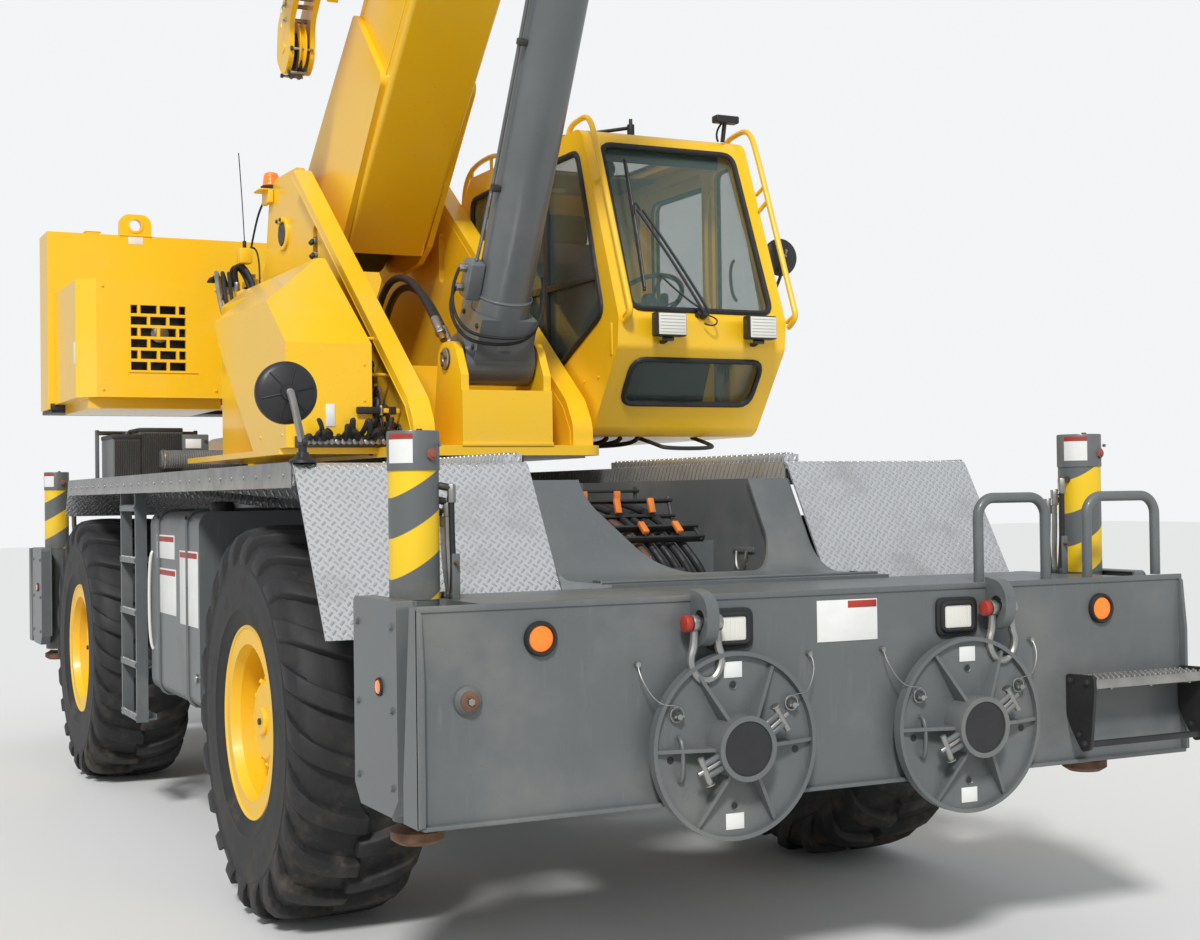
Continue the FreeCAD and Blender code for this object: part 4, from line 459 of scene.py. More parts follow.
# Wheels: lugged tyres take the place of the turned ones, and the rims get nuts and stems
tread = {"radius": 0.8, "count": 22, "width": 0.082, "lead": 0.27, "mid": 2.0215, "plane": 1.273,
         "path": ((-0.012, 0.797), (0.06, 0.799), (0.12, 0.798), (0.18, 0.793), (0.228, 0.783), (0.262, 0.760),
                  (0.279, 0.722), (0.2825, 0.676), (0.276, 0.640)),
         "skin": ((0.392, 0.22), (0.393, 0.249), (0.425, 0.264), (0.452, 0.2725), (0.457, 0.277), (0.464, 0.2755),
                  (0.52, 0.2795), (0.58, 0.280), (0.625, 0.276), (0.631, 0.279), (0.638, 0.2745), (0.70, 0.263),
                  (0.735, 0.246), (0.754, 0.215), (0.759, 0.15), (0.760, 0.05))}


def lugShape(index, hand):
    # one bar from the tread's middle over the shoulder, bent back as it runs out
    bm = bmesh.new()
    rows = []
    last = len(tread["path"]) - 1
    for step, (across, radius) in enumerate(tread["path"]):
        share = step / last
        turn = (index + (0.5 if hand < 0 else 0)) / tread["count"] * math.tau + tread["lead"] * share ** 1.25
        half = tread["width"] * (0.42 + 0.16 * share) / radius
        sink = 0.055 if step < last else 0.03
        row = []
        for side, wide, down in ((-1, 1.3, sink), (-1, 1.0, 0), (1, 1.0, 0), (1, 1.3, sink)):
            angle = turn + side * half * wide
            inner = radius - down
            row.append(bm.verts.new((hand * (across - down * (0.9 if step > 4 else 0.2)), inner * math.sin(angle),
                                     inner * math.cos(angle))))
        rows.append(row)
    for first, second in zip(rows, rows[1:]):
        for a in range(3):
            bm.faces.new((first[a], first[a + 1], second[a + 1], second[a]))
    bm.faces.new(rows[0])
    bm.faces.new(rows[-1][::-1])
    bmesh.ops.recalc_face_normals(bm, faces=bm.faces)
    return rounded(bm, 0.007, 2, 0.5)


def wheelPieces(end, ahead, side, sign):
    label = f"{end}_{side}"
    centre = Matrix.Translation((sign * tread["plane"], ahead * tread["mid"], 0.8)) @ Matrix.Scale(sign, 4, (1, 0, 0))
    tyre = Piece(f"{label}_lugged_tyre", f"{label}_wheel", "tyre")
    ring = list(tread["skin"]) + [(r, -t) for r, t in reversed(tread["skin"])]
    tyre.spin(ring + ring[:1], (0, 0, 0), (1, 0, 0), "tyreRubber", 96, centre)
    for index in range(tread["count"]):
        for hand in (1, -1):
            tyre.add(lugShape(index, hand), "tyreRubber", centre)
    tyre.finish(f"{label}_tyre", sharp=0.9)

    trim = Piece(f"{label}_wheel_trim", f"{label}_wheel", "crane_yellow")
    bolts = {"ring": 0.262, "nuts": 12, "seat": -0.004, "caps": 0.174, "capSeat": 0.170}
    for index in range(bolts["nuts"]):
        angle = index / bolts["nuts"] * math.tau
        ray = Vector((0, math.sin(angle), math.cos(angle)))
        spot = ray * bolts["ring"] + Vector((bolts["seat"], 0, 0))
        trim.rod(spot, spot + Vector((0.006, 0, 0)), 0.023, "wheelYellow", 20, turn=centre)
        trim.rod(spot, spot + Vector((0.030, 0, 0)), 0.0165, "darkSteel", 6, 0.002, turn=centre)
        trim.rod(spot, spot + Vector((0.046, 0, 0)), 0.0085, "rustySteel", 12, turn=centre)
        cap = ray * bolts["caps"] + Vector((bolts["capSeat"], 0, 0))
        out = (Vector((0.6, 0, 0)) + ray * 0.5).normalized()
        trim.rod(cap - out * 0.01, cap + out * 0.014, 0.011, "wheelYellow", 6, 0.0015, turn=centre)
    trim.spin([(0, 0.204), (0.052, 0.204), (0.058, 0.199), (0.058, 0.188)], (0, 0, 0), (1, 0, 0), "wheelYellow", 40,
              centre)
    trim.rod((0.200, 0, 0.0), (0.214, 0, 0.0), 0.014, "darkSteel", 6, 0.002, turn=centre)
    trim.rod((0.165, 0.150, 0.0), (0.182, 0.158, 0.0), 0.013, "brass", 6, 0.002, turn=centre)
    lock = [(0.372, 0.228), (0.382, 0.2505), (0.392, 0.2535), (0.3955, 0.2475), (0.392, 0.240), (0.378, 0.226)]
    trim.spin(lock + lock[:1], (0, 0, 0), (1, 0, 0), "wheelYellow", 72, centre)
    trim.pipe([(0.005, 0.285, 0.02), (0.035, 0.285, 0.02), (0.075, 0.275, 0.02)], 0.006, "brass", True, 8,
              turn=centre)
    trim.rod((0.072, 0.276, 0.02), (0.092, 0.271, 0.02), 0.009, "blackRubber", 12, turn=centre)
    trim.finish()


for end, ahead in ends:
    for side, sign in sides:
        wheelPieces(end, ahead, side, sign)
print("wheels built")


# Front bumper: lamps, shackles, plug, step and the blank label
bumper = {"face": -4.039, "top": 1.372, "low": 0.706, "half": 1.54}


def lampRound(piece, x, z, size):
    centre = (x, bumper["face"], z)
    piece.spin([(size * 1.33, 0), (size * 1.33, 0.012), (size * 1.22, 0.019), (size * 1.06, 0.018), (size, 0.010)],
               centre, (0, -1, 0), "blackRubber", 40)
    piece.spin([(size * 1.01, 0.008), (size * 0.96, 0.013), (size * 0.7, 0.018), (0, 0.020)], centre, (0, -1, 0),
               "amberLens", 32)


def headlamp(piece, x, z):
    half, tall = 0.066, 0.047
    y = bumper["face"]
    outer = rounding([(x - half - 0.022, z - tall - 0.020), (x + half + 0.022, z - tall - 0.020),
                      (x + half + 0.022, z + tall + 0.020), (x - half - 0.022, z + tall + 0.020)], 0.030)
    piece.plate(outer, "y", y - 0.014, y, "blackRubber", 0.003)
    ring = rounding([(x - half, z - tall), (x + half, z - tall), (x + half, z + tall), (x - half, z + tall)], 0.018)
    piece.pipe([(a, y - 0.016, b) for a, b in ring], 0.009, "blackRubber", False, 12, True)
    piece.plate(ring, "y", y - 0.017, y - 0.005, "lampGlass", 0.004, 3)
    for index in range(7):
        across = x - half + 0.016 + index * 0.0167
        piece.box((across - 0.002, y - 0.0185, z - tall + 0.012), (across + 0.002, y - 0.016, z + tall - 0.012),
                  "lampGlass", 0.0)


def shackle(piece, x, y, z, facing):
    drop, half, thick = 0.185, 0.041, 0.014
    for way in (-1, 1):
        piece.rod((x + way * (half - 0.013), y, z), (x + way * (half + 0.013), y, z), 0.028, "bareSteel", 24, 0.004)
    loop = [(x - half, y, z - 0.012), (x - half, y, z - 0.07), (x - half - 0.022, y, z - 0.12),
            (x - half + 0.010, y, z - drop), (x + half - 0.010, y, z - drop), (x + half + 0.022, y, z - 0.12),
            (x + half, y, z - 0.07), (x + half, y, z - 0.012)]
    piece.pipe(loop, thick, "bareSteel", True, 12)
    piece.rod((x - half - 0.018, y, z), (x + half + 0.018, y, z), 0.0185, "darkSteel", 20, 0.002)
    piece.rod((x + facing * (half + 0.016), y, z), (x + facing * (half + 0.040), y, z), 0.027, "redPaint", 20, 0.004)


def frontStep(piece):
    # a serrated tread between two black hangers at the left end
    left, right, y, top, low = 0.965, 1.525, bumper["face"], 1.030, 0.765
    for x in (left, right - 0.014):
        side = [(y - 0.002, top), (y - 0.145, top + 0.004), (y - 0.150, top - 0.050), (y - 0.125, low),
                (y - 0.080, low - 0.012), (y - 0.020, low + 0.075), (y - 0.002, low + 0.120)]
        piece.plate(rounding(side, 0.014), "x", x, x + 0.014, "blackPaintAndPaintedShade", 0.002)
        for deep, level in ((-0.118, top - 0.022), (-0.030, top - 0.022), (-0.100, low + 0.022), (-0.070, low + 0.05)):
            piece.bolt((x - 0.001, y + deep, level), (-1, 0, 0), 0.010)
    for index in range(4):
        across = y - 0.022 - index * 0.034
        piece.box((left + 0.014, across - 0.011, top - 0.046), (right - 0.014, across - 0.007, top - 0.012),
                  "bareSteel", 0.0008)
        count = 21
        for tooth in range(count):
            x = left + 0.030 + (right - left - 0.060) * tooth / (count - 1)
            piece.rod((x, across - 0.009, top - 0.014), (x, across - 0.009, top - 0.004), 0.007, "bareSteel", 8,
                      endRadius=0.0045)
    piece.box((left + 0.014, y - 0.146, top - 0.044), (right - 0.014, y - 0.138, top - 0.010), "bareSteel", 0.002)
    piece.box((left + 0.014, y - 0.012, top - 0.044), (right - 0.014, y - 0.002, top - 0.006), "bareSteel", 0.002)
    for x in (left + 0.09, (left + right) / 2, right - 0.09):
        piece.box((x - 0.005, y - 0.140, top - 0.050), (x + 0.005, y - 0.008, top - 0.040), "bareSteel", 0.001)
    piece.box((left + 0.014, y - 0.118, low + 0.008), (right - 0.014, y - 0.098, low + 0.030), "blackPaintAndPaintedShade", 0.004)


def bumperTrim():
    face, top, low, half = (bumper[k] for k in ("face", "top", "low", "half"))
    lamps = Piece("front_lamps", "carrier", "dark_paint")
    for sign in (-1, 1):
        lampRound(lamps, sign * 1.135, 1.261, 0.0415)
        headlamp(lamps, sign * 0.463 + 0.006, 1.261)
    lamps.finish()
    trim = Piece("front_bumper_trim", "carrier", "carrier_paint")
    shackle(trim, -0.5775, face - 0.060, 1.288, -1)
    shackle(trim, 0.6255, face - 0.060, 1.288, -1)
    trim.box((-half, face - 0.006, top - 0.016), (half, face + 0.004, top + 0.004), "carrierGrey", 0.003)
    trim.box((-half + 0.01, face - 0.024, low - 0.002), (half - 0.01, face + 0.01, low + 0.012), "carrierGrey", 0.003)
    for x in (-half + 0.007, half - 0.007):
        trim.plate([(face + 0.01, low), (face - 0.030, low + 0.012), (face - 0.030, top - 0.20), (face - 0.012, top - 0.02),
                    (face + 0.01, top)], "x", x - 0.007, x + 0.007, "carrierGrey", 0.002)
    trim.box((-0.111, face - 0.0022, 1.197), (0.135, face, 1.337), "labelWhite", 0.0006)
    trim.box((0.014, face - 0.0032, 1.309), (0.132, face - 0.001, 1.333), "redPaint", 0.0004)
    trim.spin([(0.045, 0), (0.045, 0.010), (0.034, 0.024), (0.030, 0.024)], (-1.379, face, 1.084), (0, -1, 0),
              "carrierGrey", 36)
    trim.spin([(0.031, 0.020), (0.031, 0.028), (0.022, 0.034), (0.012, 0.034), (0.010, 0.026), (0, 0.026)],
              (-1.379, face, 1.084), (0, -1, 0), "rustySteel", 30)
    trim.rod((-1.379, face - 0.026, 1.084), (-1.379, face - 0.040, 1.084), 0.012, "bareSteel", 6, 0.001)
    frontStep(trim)
    trim.finish()


def floatTrim(x, outward):
    # labels, drain holes, clevis pins, lynch pins and their wires on one stowed float
    face, z, deep = bumper["face"], 0.887, 0.0760
    y = face - 0.0545
    trim = Piece(f"front_float_trim_{outward}", "carrier", "dark_paint")
    for way in (-1, 1):
        spot = z + way * 0.245
        trim.box((x - 0.034, y - 0.0022, spot - 0.026), (x + 0.034, y, spot + 0.026), "labelWhite", 0.0006)
        trim.spin([(0.011, 0.0005), (0.014, 0.0035), (0.014, 0)], (x, y, z + way * 0.195), (0, -1, 0), "carrierGrey", 20)
        trim.rod((x, y - 0.001, z + way * 0.195), (x, y + 0.002, z + way * 0.195), 0.011, "blackPaintAndPaintedShade", 20)
        trim.rod((x + way * 0.235, y - 0.001, z - 0.030), (x + way * 0.235, y + 0.002, z - 0.030), 0.012, "blackPaintAndPaintedShade", 20)
    socket = face - 0.150
    trim.rod((x, socket + 0.060, z), (x, socket + 0.004, z), 0.0865, "blackPaintAndPaintedShade", 40)
    for turn in (math.radians(58), math.radians(-112)):
        ray = Vector((math.sin(turn), 0, math.cos(turn)))
        side = Vector((ray.z, 0, -ray.x))
        root = Vector((x, socket + 0.022, z)) + ray * 0.100
        tip = root + ray * 0.062
        for way in (-0.020, 0.020):
            trim.rod(root + side * way, tip + side * way, 0.010, "carrierGrey", 14, 0.002)
        trim.rod(tip - side * 0.046, tip + side * 0.046, 0.011, "bareSteel", 16, 0.002)
        trim.rod(root - ray * 0.05 + side * 0.004, tip + ray * 0.028, 0.008, "bareSteel", 12, 0.001)
        trim.rod(tip - side * 0.050, tip - side * 0.046, 0.017, "bareSteel", 16, 0.001)
    for way, lift in ((-1, 0.115), (1, 0.125)):
        centre = Vector((x + way * 0.215, y - 0.012, z + lift))
        ring = [centre + Vector((math.sin(a), 0, math.cos(a))) * 0.024
                for a in (step / 14 * math.tau for step in range(14))]
        trim.pipe(ring, 0.0032, "bareSteel", True, 8, True)
        trim.rod(centre + Vector((0, 0.010, -0.006)), centre + Vector((0, -0.022, -0.006)), 0.009, "bareSteel", 12)
        trim.rod(centre + Vector((-0.018, -0.014, -0.006)), centre + Vector((0.018, -0.014, -0.006)), 0.005,
                 "bareSteel", 10)
        eye = Vector((x + way * 0.325, face - 0.006, z + 0.275))
        trim.rod(eye + Vector((0, 0.004, 0)), eye + Vector((0, -0.012, 0)), 0.009, "bareSteel", 12)
        sag = (centre + eye) / 2 + Vector((way * 0.015, -0.030, -0.045))
        trim.pipe([eye + Vector((0, -0.008, 0)), eye + Vector((way * 0.01, -0.03, -0.03)), sag,
                   centre + Vector((0, -0.02, 0.03)), centre + Vector((0, -0.014, 0.024))], 0.0021, "bareSteel", True, 6)
    trim.pipe([(x - 0.205, y - 0.004, z - 0.10), (x - 0.205, y - 0.030, z - 0.095), (x - 0.205, y - 0.030, z + 0.035),
               (x - 0.205, y - 0.004, z + 0.040)], 0.007, "carrierGrey", True, 10)
    trim.finish()


bumperTrim()
for outward, x in (("right", -0.475), ("left", 0.475)):
    floatTrim(x, outward)
print("front bumper dressed")


# Outriggers: striped sleeves and caps on the jack tubes, feet, hoses and marker lamps
def outriggerTrim(end, ahead, side, sign):
    label = f"{end}_{side}"
    y = -3.650 if ahead < 0 else 3.726
    x = sign * 1.401
    trim = Piece(f"{label}_pillar_trim", f"{label}_beam", "carrier_paint")
    trim.spin([(0.0798, 1.374), (0.0822, 1.376), (0.0822, 1.792), (0.0798, 1.794)], (x, y, 0), (0, 0, 1), "stripes", 56)
    trim.spin([(0.0798, 1.790), (0.0855, 1.790), (0.0855, 1.914), (0.0835, 1.9185), (0.060, 1.9185), (0.056, 1.9165),
               (0, 1.9165)], (x, y, 0), (0, 0, 1), "carrierGrey", 56)
    trim.rod((x + 0.018, y - 0.010, 1.915), (x + 0.018, y - 0.010, 1.926), 0.010, "darkSteel", 6, 0.001)
    for name, turn, size, level, look in (("label", -52, 0.047, 1.852, "labelWhite"), ("band", -52, 0.047, 1.900, "redPaint")):
        angle = math.radians(turn)
        wide, tall = size, 0.038 if name == "label" else 0.008
        spots = []
        bm = bmesh.new()
        for step in range(7):
            a = angle + (step / 6 - 0.5) * wide * 2 / 0.0862
            spots.append([bm.verts.new((x + 0.0862 * math.sin(a), y - 0.0862 * math.cos(a), level + way * tall))
                          for way in (-1, 1)])
        for first, second in zip(spots, spots[1:]):
            bm.faces.new((first[0], second[0], second[1], first[1]))
        trim.add(bm, look)
    out = Vector((math.sin(math.radians(22)), -math.cos(math.radians(22)), 0))
    plug = Vector((x, y, 1.842)) + out * 0.083
    trim.rod(plug, plug + out * 0.012, 0.021, "rustRed", 6, 0.002)
    trim.rod(plug + out * 0.010, plug + out * 0.017, 0.012, "rustRed", 20, 0.002)
    bleed = Vector((x, y, 1.873)) + out * 0.085 + Vector((0.03, 0.01, 0))
    trim.rod(bleed, bleed + out * 0.010, 0.006, "bareSteel", 10)
    # pressure hoses with their fittings climb the inner side of the tube
    inner = x - sign * 0.125
    for offset, reach in ((-0.030, 1.745), (0.012, 1.700), (0.050, 1.665)):
        trim.pipe([(inner + offset * 0.3, y + offset, 1.372), (inner, y + offset, 1.46), (inner + sign * 0.006, y + offset, 1.58),
                   (inner + sign * 0.006, y + offset, reach - 0.03)], 0.0105, "blackRubber" if offset < 0 else "bareSteel",
                  True, 10)
        trim.rod((inner + sign * 0.006, y + offset, reach - 0.06), (inner + sign * 0.006, y + offset, reach), 0.0155,
                 "bareSteel", 6, 0.002)
        trim.rod((inner + sign * 0.006, y + offset, reach - 0.012), (x - sign * 0.078, y + offset * 0.7, reach - 0.004),
                 0.0125, "darkSteel", 12, 0.002)
        trim.rod((inner, y + offset, 1.372), (inner, y + offset, 1.392), 0.019, "darkSteel", 6, 0.002)
    trim.box((inner - 0.014, y - 0.052, 1.372), (inner + 0.014, y - 0.044, 1.520), "carrierGrey", 0.003)
    trim.rod((inner - 0.004, y - 0.078, 1.490), (inner - 0.004, y - 0.044, 1.490), 0.006, "rustySteel", 10)
    # end box: marker lamp and closing bolts
    face = sign * 1.540
    trim.spin([(0.030, 0), (0.030, 0.005), (0.026, 0.009), (0.024, 0.006)], (face, y - 0.05, 1.105), (sign, 0, 0),
              "blackRubber", 28)
    trim.spin([(0.0245, 0.004), (0.020, 0.010), (0, 0.013)], (face, y - 0.05, 1.105), (sign, 0, 0), "amberLens", 28)
    for deep in (-0.165, 0.165):
        for level in (0.80, 1.04, 1.30):
            trim.bolt((face, y + deep, level), (sign, 0, 0), 0.010, "carrierGrey")
    weld = [(face - sign * 0.066, y - 0.212, 0.77), (face - sign * 0.066, y - 0.212, 1.378),
            (face - sign * 0.066, y + 0.212, 1.378), (face - sign * 0.066, y + 0.212, 0.77)]
    trim.pipe(weld, 0.006, "carrierGrey", False, 8)
    trim.finish()
    foot = Piece(f"{label}_jack_foot", f"{label}_jack", "bright_rod")
    foot.spin([(0, 0.5885), (0.061, 0.5885), (0.0868, 0.6045), (0.0868, 0.6315), (0.056, 0.6490), (0.0515, 0.6560)],
              (x, y, 0), (0, 0, 1), "rustySteel", 40)
    foot.finish()


for end, ahead in ends:
    for side, sign in sides:
        outriggerTrim(end, ahead, side, sign)
print("outriggers dressed")


# Deck: grip rails, hose bundle in the frame's scoop, tank labels, mirror and cooling group
deck = {"top": 1.837, "inner": 0.600, "outer": 1.540, "front": -2.757, "rear": 2.320}


def gripRail(piece, x, start, end, level, wide=0.075, tall=0.032):
    # folded channel whose top is punched into two rows of raised teeth
    piece.box((x - wide / 2, start, level), (x + wide / 2, end, level + tall), "treadPlate", 0.004)
    count = int(abs(end - start) / 0.045)
    for index in range(count):
        y = start + (end - start) * (index + 0.5) / count
        for way in (-1, 1):
            centre = (x + way * wide * 0.23, y + way * 0.011, level + tall - 0.001)
            piece.spin([(0.0125, 0), (0.0105, 0.0055), (0.0070, 0.0070), (0.0060, 0.001), (0, 0.001)], centre, (0, 0, 1),
                       "bareSteel", 10)


def deckTrim():
    rails = Piece("grip_rails", "carrier", "tread_plate")
    gripRail(rails, 0.645, deck["front"] + 0.03, -1.09, deck["top"])
    gripRail(rails, -0.645, deck["front"] + 0.03, -1.20, deck["top"])
    rails.box((-1.546, deck["front"] + 0.02, deck["top"] - 0.092), (-1.5395, deck["rear"] - 0.02, deck["top"] + 0.004),
              "bareSteel", 0.002)
    rails.box((1.5395, deck["front"] + 0.02, deck["top"] - 0.092), (1.546, deck["rear"] - 0.02, deck["top"] + 0.004),
              "bareSteel", 0.002)
    for sign in (-1, 1):
        for index in range(26):
            y = deck["front"] + 0.12 + index * 0.193
            rails.rod((sign * 1.545, y, deck["top"] - 0.045), (sign * 1.5495, y, deck["top"] - 0.045), 0.010, "bareSteel", 12,
                      0.001)
    rails.finish()


def hoseBundle():
    bundle = Piece("frame_hoses", "carrier", "dark_paint")
    rng = random.Random(5)
    for index in range(9):
        x = -0.335 + 0.052 * index
        low = rng.uniform(-0.012, 0.012)
        look = "blackRubber" if index != 4 else "rustySteel"
        run = [(x * 0.7, -1.16, 1.62), (x * 0.8, -1.60, 1.665), (x, -2.18, 1.668 + low), (x + 0.02, -2.52, 1.60 + low),
               (x + 0.09, -2.66, 1.47), (x + 0.15, -2.72, 1.33 + low), (x + 0.17, -2.60, 1.20), (x + 0.17, -2.30, 1.14)]
        bundle.pipe(run, rng.choice((0.015, 0.018, 0.021)), look, True, 12)
    for y, z, lean in ((-2.20, 1.692, 0.0), (-2.47, 1.650, 0.35), (-2.635, 1.545, 0.9)):
        turn = Matrix.Translation((0, y, z)) @ Matrix.Rotation(-lean, 4, "X")
        shift = 0.02 + 0.07 * lean
        bundle.box((-0.400 + shift, -0.016, 0.020), (0.160 + shift, 0.016, 0.034), "blackPaintAndPaintedShade", 0.004, turn=turn)
        bundle.box((-0.400 + shift, -0.016, -0.050), (0.160 + shift, 0.016, -0.036), "blackPaintAndPaintedShade", 0.004, turn=turn)
        for x in (-0.385 + shift, 0.145 + shift):
            bundle.rod((x, 0, -0.055), (x, 0, 0.046), 0.008, "darkSteel", 10, turn=turn)
        for x in (-0.12, 0.04):
            bundle.box((x + shift - 0.014, -0.040, -0.038), (x + shift + 0.014, -0.020, 0.028), "orangeStrap", 0.004, turn=turn)
    for x, y, z in ((-0.15, -2.60, 1.50), (-0.02, -2.66, 1.44), (0.10, -2.69, 1.38)):
        bundle.rod((x, y, z), (x + 0.004, y - 0.05, z - 0.085), 0.024, "bareSteel", 6, 0.003)
        bundle.rod((x + 0.004, y - 0.05, z - 0.085), (x + 0.01, y - 0.06, z - 0.13), 0.018, "darkSteel", 16, 0.003)
    bundle.box((-0.19, -2.74, 1.30), (0.12, -2.62, 1.40), "darkSteel", 0.012, 3)
    bundle.finish()
    eye = Piece("frame_pad_eye", "carrier", "carrier_paint")
    x, y, z = 0.4185, -2.70, 1.455
    eye.box((x - 0.006, y - 0.085, z), (x + 0.0015, y + 0.085, z + 0.022), "carrierGrey", 0.002)
    eye.pipe([(x - 0.012, y - 0.040, z + 0.004), (x - 0.020, y - 0.036, z - 0.05), (x - 0.022, y, z - 0.085),
              (x - 0.020, y + 0.036, z - 0.05), (x - 0.012, y + 0.040, z + 0.004)], 0.008, "bareSteel", True, 10)
    seam = [(-0.60, -3.395, 1.388), (0.60, -3.395, 1.388)]
    eye.pipe(seam, 0.006, "carrierGrey", False, 8)
    for sign in (-1, 1):
        for index in range(4):
            eye.bolt((sign * 0.565, -3.30 + index * 0.01, 1.384 + index * 0.0), (0, 0, 1), 0.008)
    eye.finish()


def tankTrim():
    trim = Piece("tank_trim", "carrier", "carrier_paint")
    for low, high, first, last in ((1.410, 1.530, -0.33, 0.08), (1.130, 1.360, -0.36, 0.06), (1.100, 1.460, -0.83, -0.45)):
        trim.box((-1.4522, first, low), (-1.4495, last, high), "labelWhite", 0.0008)
        trim.box((-1.4530, first + 0.01, high - 0.034), (-1.4500, last - 0.01, high - 0.008), "redPaint", 0.0004)
    for sign in (-1, 1):
        for y in (-0.62, 0.02):
            strap = rounding([(sign * 0.757, 0.707), (sign * 1.453, 0.707), (sign * 1.453, 1.653), (sign * 0.757, 1.653)], 0.070)
            trim.pipe([(a, y, b) for a, b in strap], 0.009, "carrierGrey", False, 8, True)
            trim.bolt((sign * 1.455, y, 1.62), (sign, 0, 0), 0.010)
        trim.spin([(0.060, 0), (0.060, 0.030), (0.052, 0.048), (0, 0.050)], (sign * 1.30, -0.70, 1.648), (0, 0, 1),
                  "blackPaintAndPaintedShade", 30)
        trim.rod((sign * 1.4495, -0.80, 0.86), (sign * 1.462, -0.80, 0.86), 0.022, "bareSteel", 20, 0.002)
        # sight tube between two elbows
        trim.pipe([(sign * 1.452, 0.185, 0.93), (sign * 1.472, 0.185, 0.95), (sign * 1.472, 0.185, 1.42),
                   (sign * 1.452, 0.185, 1.44)], 0.008, "lampGlass", True, 10)
    for sign in (-1, 1):
        for step in range(5):
            level = 0.530 + 0.280 * step
            for tooth in range(12):
                y = 0.405 + tooth * 0.0355
                trim.rod((sign * 1.498, y, level + 0.026), (sign * 1.498, y, level + 0.036), 0.006, "bareSteel", 8,
                         endRadius=0.0035)
            for y in (0.400, 0.800):
                trim.bolt((sign * 1.500, y, level + 0.016), (sign, 0, 0), 0.008)
    trim.finish()


def mirrorDetail():
    # round mirror with pressed spokes on its back, a ball joint and a clamped arm
    arm = Piece("deck_mirror_detail", "carrier", "dark_paint")
    centre = Vector((-1.560, -2.7455, 2.095))
    rim = [(0, 0.024), (0.028, 0.024), (0.032, 0.014), (0.095, 0.006), (0.112, -0.004), (0.1165, -0.012), (0.1165, -0.030),
           (0.112, -0.034), (0.108, -0.030)]
    arm.spin(rim, centre + Vector((0, -0.012, 0)), (0, -1, 0), "blackPaintAndPaintedShade", 64)
    arm.spin([(0, 0.0435), (0.060, 0.0415), (0.108, 0.034)], centre + Vector((0, -0.012, 0)), (0, 1, 0), "mirrorGlass", 48)
    for index in range(6):
        a = index / 6 * math.tau + 0.3
        ray = Vector((math.sin(a), 0, math.cos(a)))
        start = centre + Vector((0, -0.029, 0))
        arm.rod(start + ray * 0.030, start + ray * 0.100 + Vector((0, 0.010, 0)), 0.0025, "blackPaintAndPaintedShade", 8)
    arm.rod(centre + Vector((0, -0.034, 0)), centre + Vector((0, -0.052, 0)), 0.014, "bareSteel", 16, 0.002)
    elbow = Vector((-1.500, -2.740, 1.905))
    knob = centre + Vector((0, -0.050, 0))
    arm.pipe([knob, knob + (elbow - knob) * 0.35 + Vector((0, -0.01, 0)), elbow], 0.0145, "bareSteel", True, 14)
    arm.rod(elbow + Vector((0, 0, -0.005)), elbow + Vector((0, 0, 0.035)), 0.020, "darkSteel", 20, 0.003)
    arm.rod((-1.500, -2.740, 1.838), (-1.500, -2.740, 1.905), 0.0165, "blackPaintAndPaintedShade", 20)
    arm.spin([(0.052, 0), (0.050, 0.010), (0.030, 0.022), (0.020, 0.040)], (-1.500, -2.740, 1.837), (0, 0, 1), "blackPaintAndPaintedShade",
             32)
    arm.bolt((-1.500, -2.762, 1.915), (0, -1, 0), 0.008)
    for x, y in ((-1.535, -2.740), (-1.465, -2.740), (-1.500, -2.700)):
        arm.bolt((x, y, 1.846), (0, 0, 1), 0.008)
    arm.finish("deck_mirror")


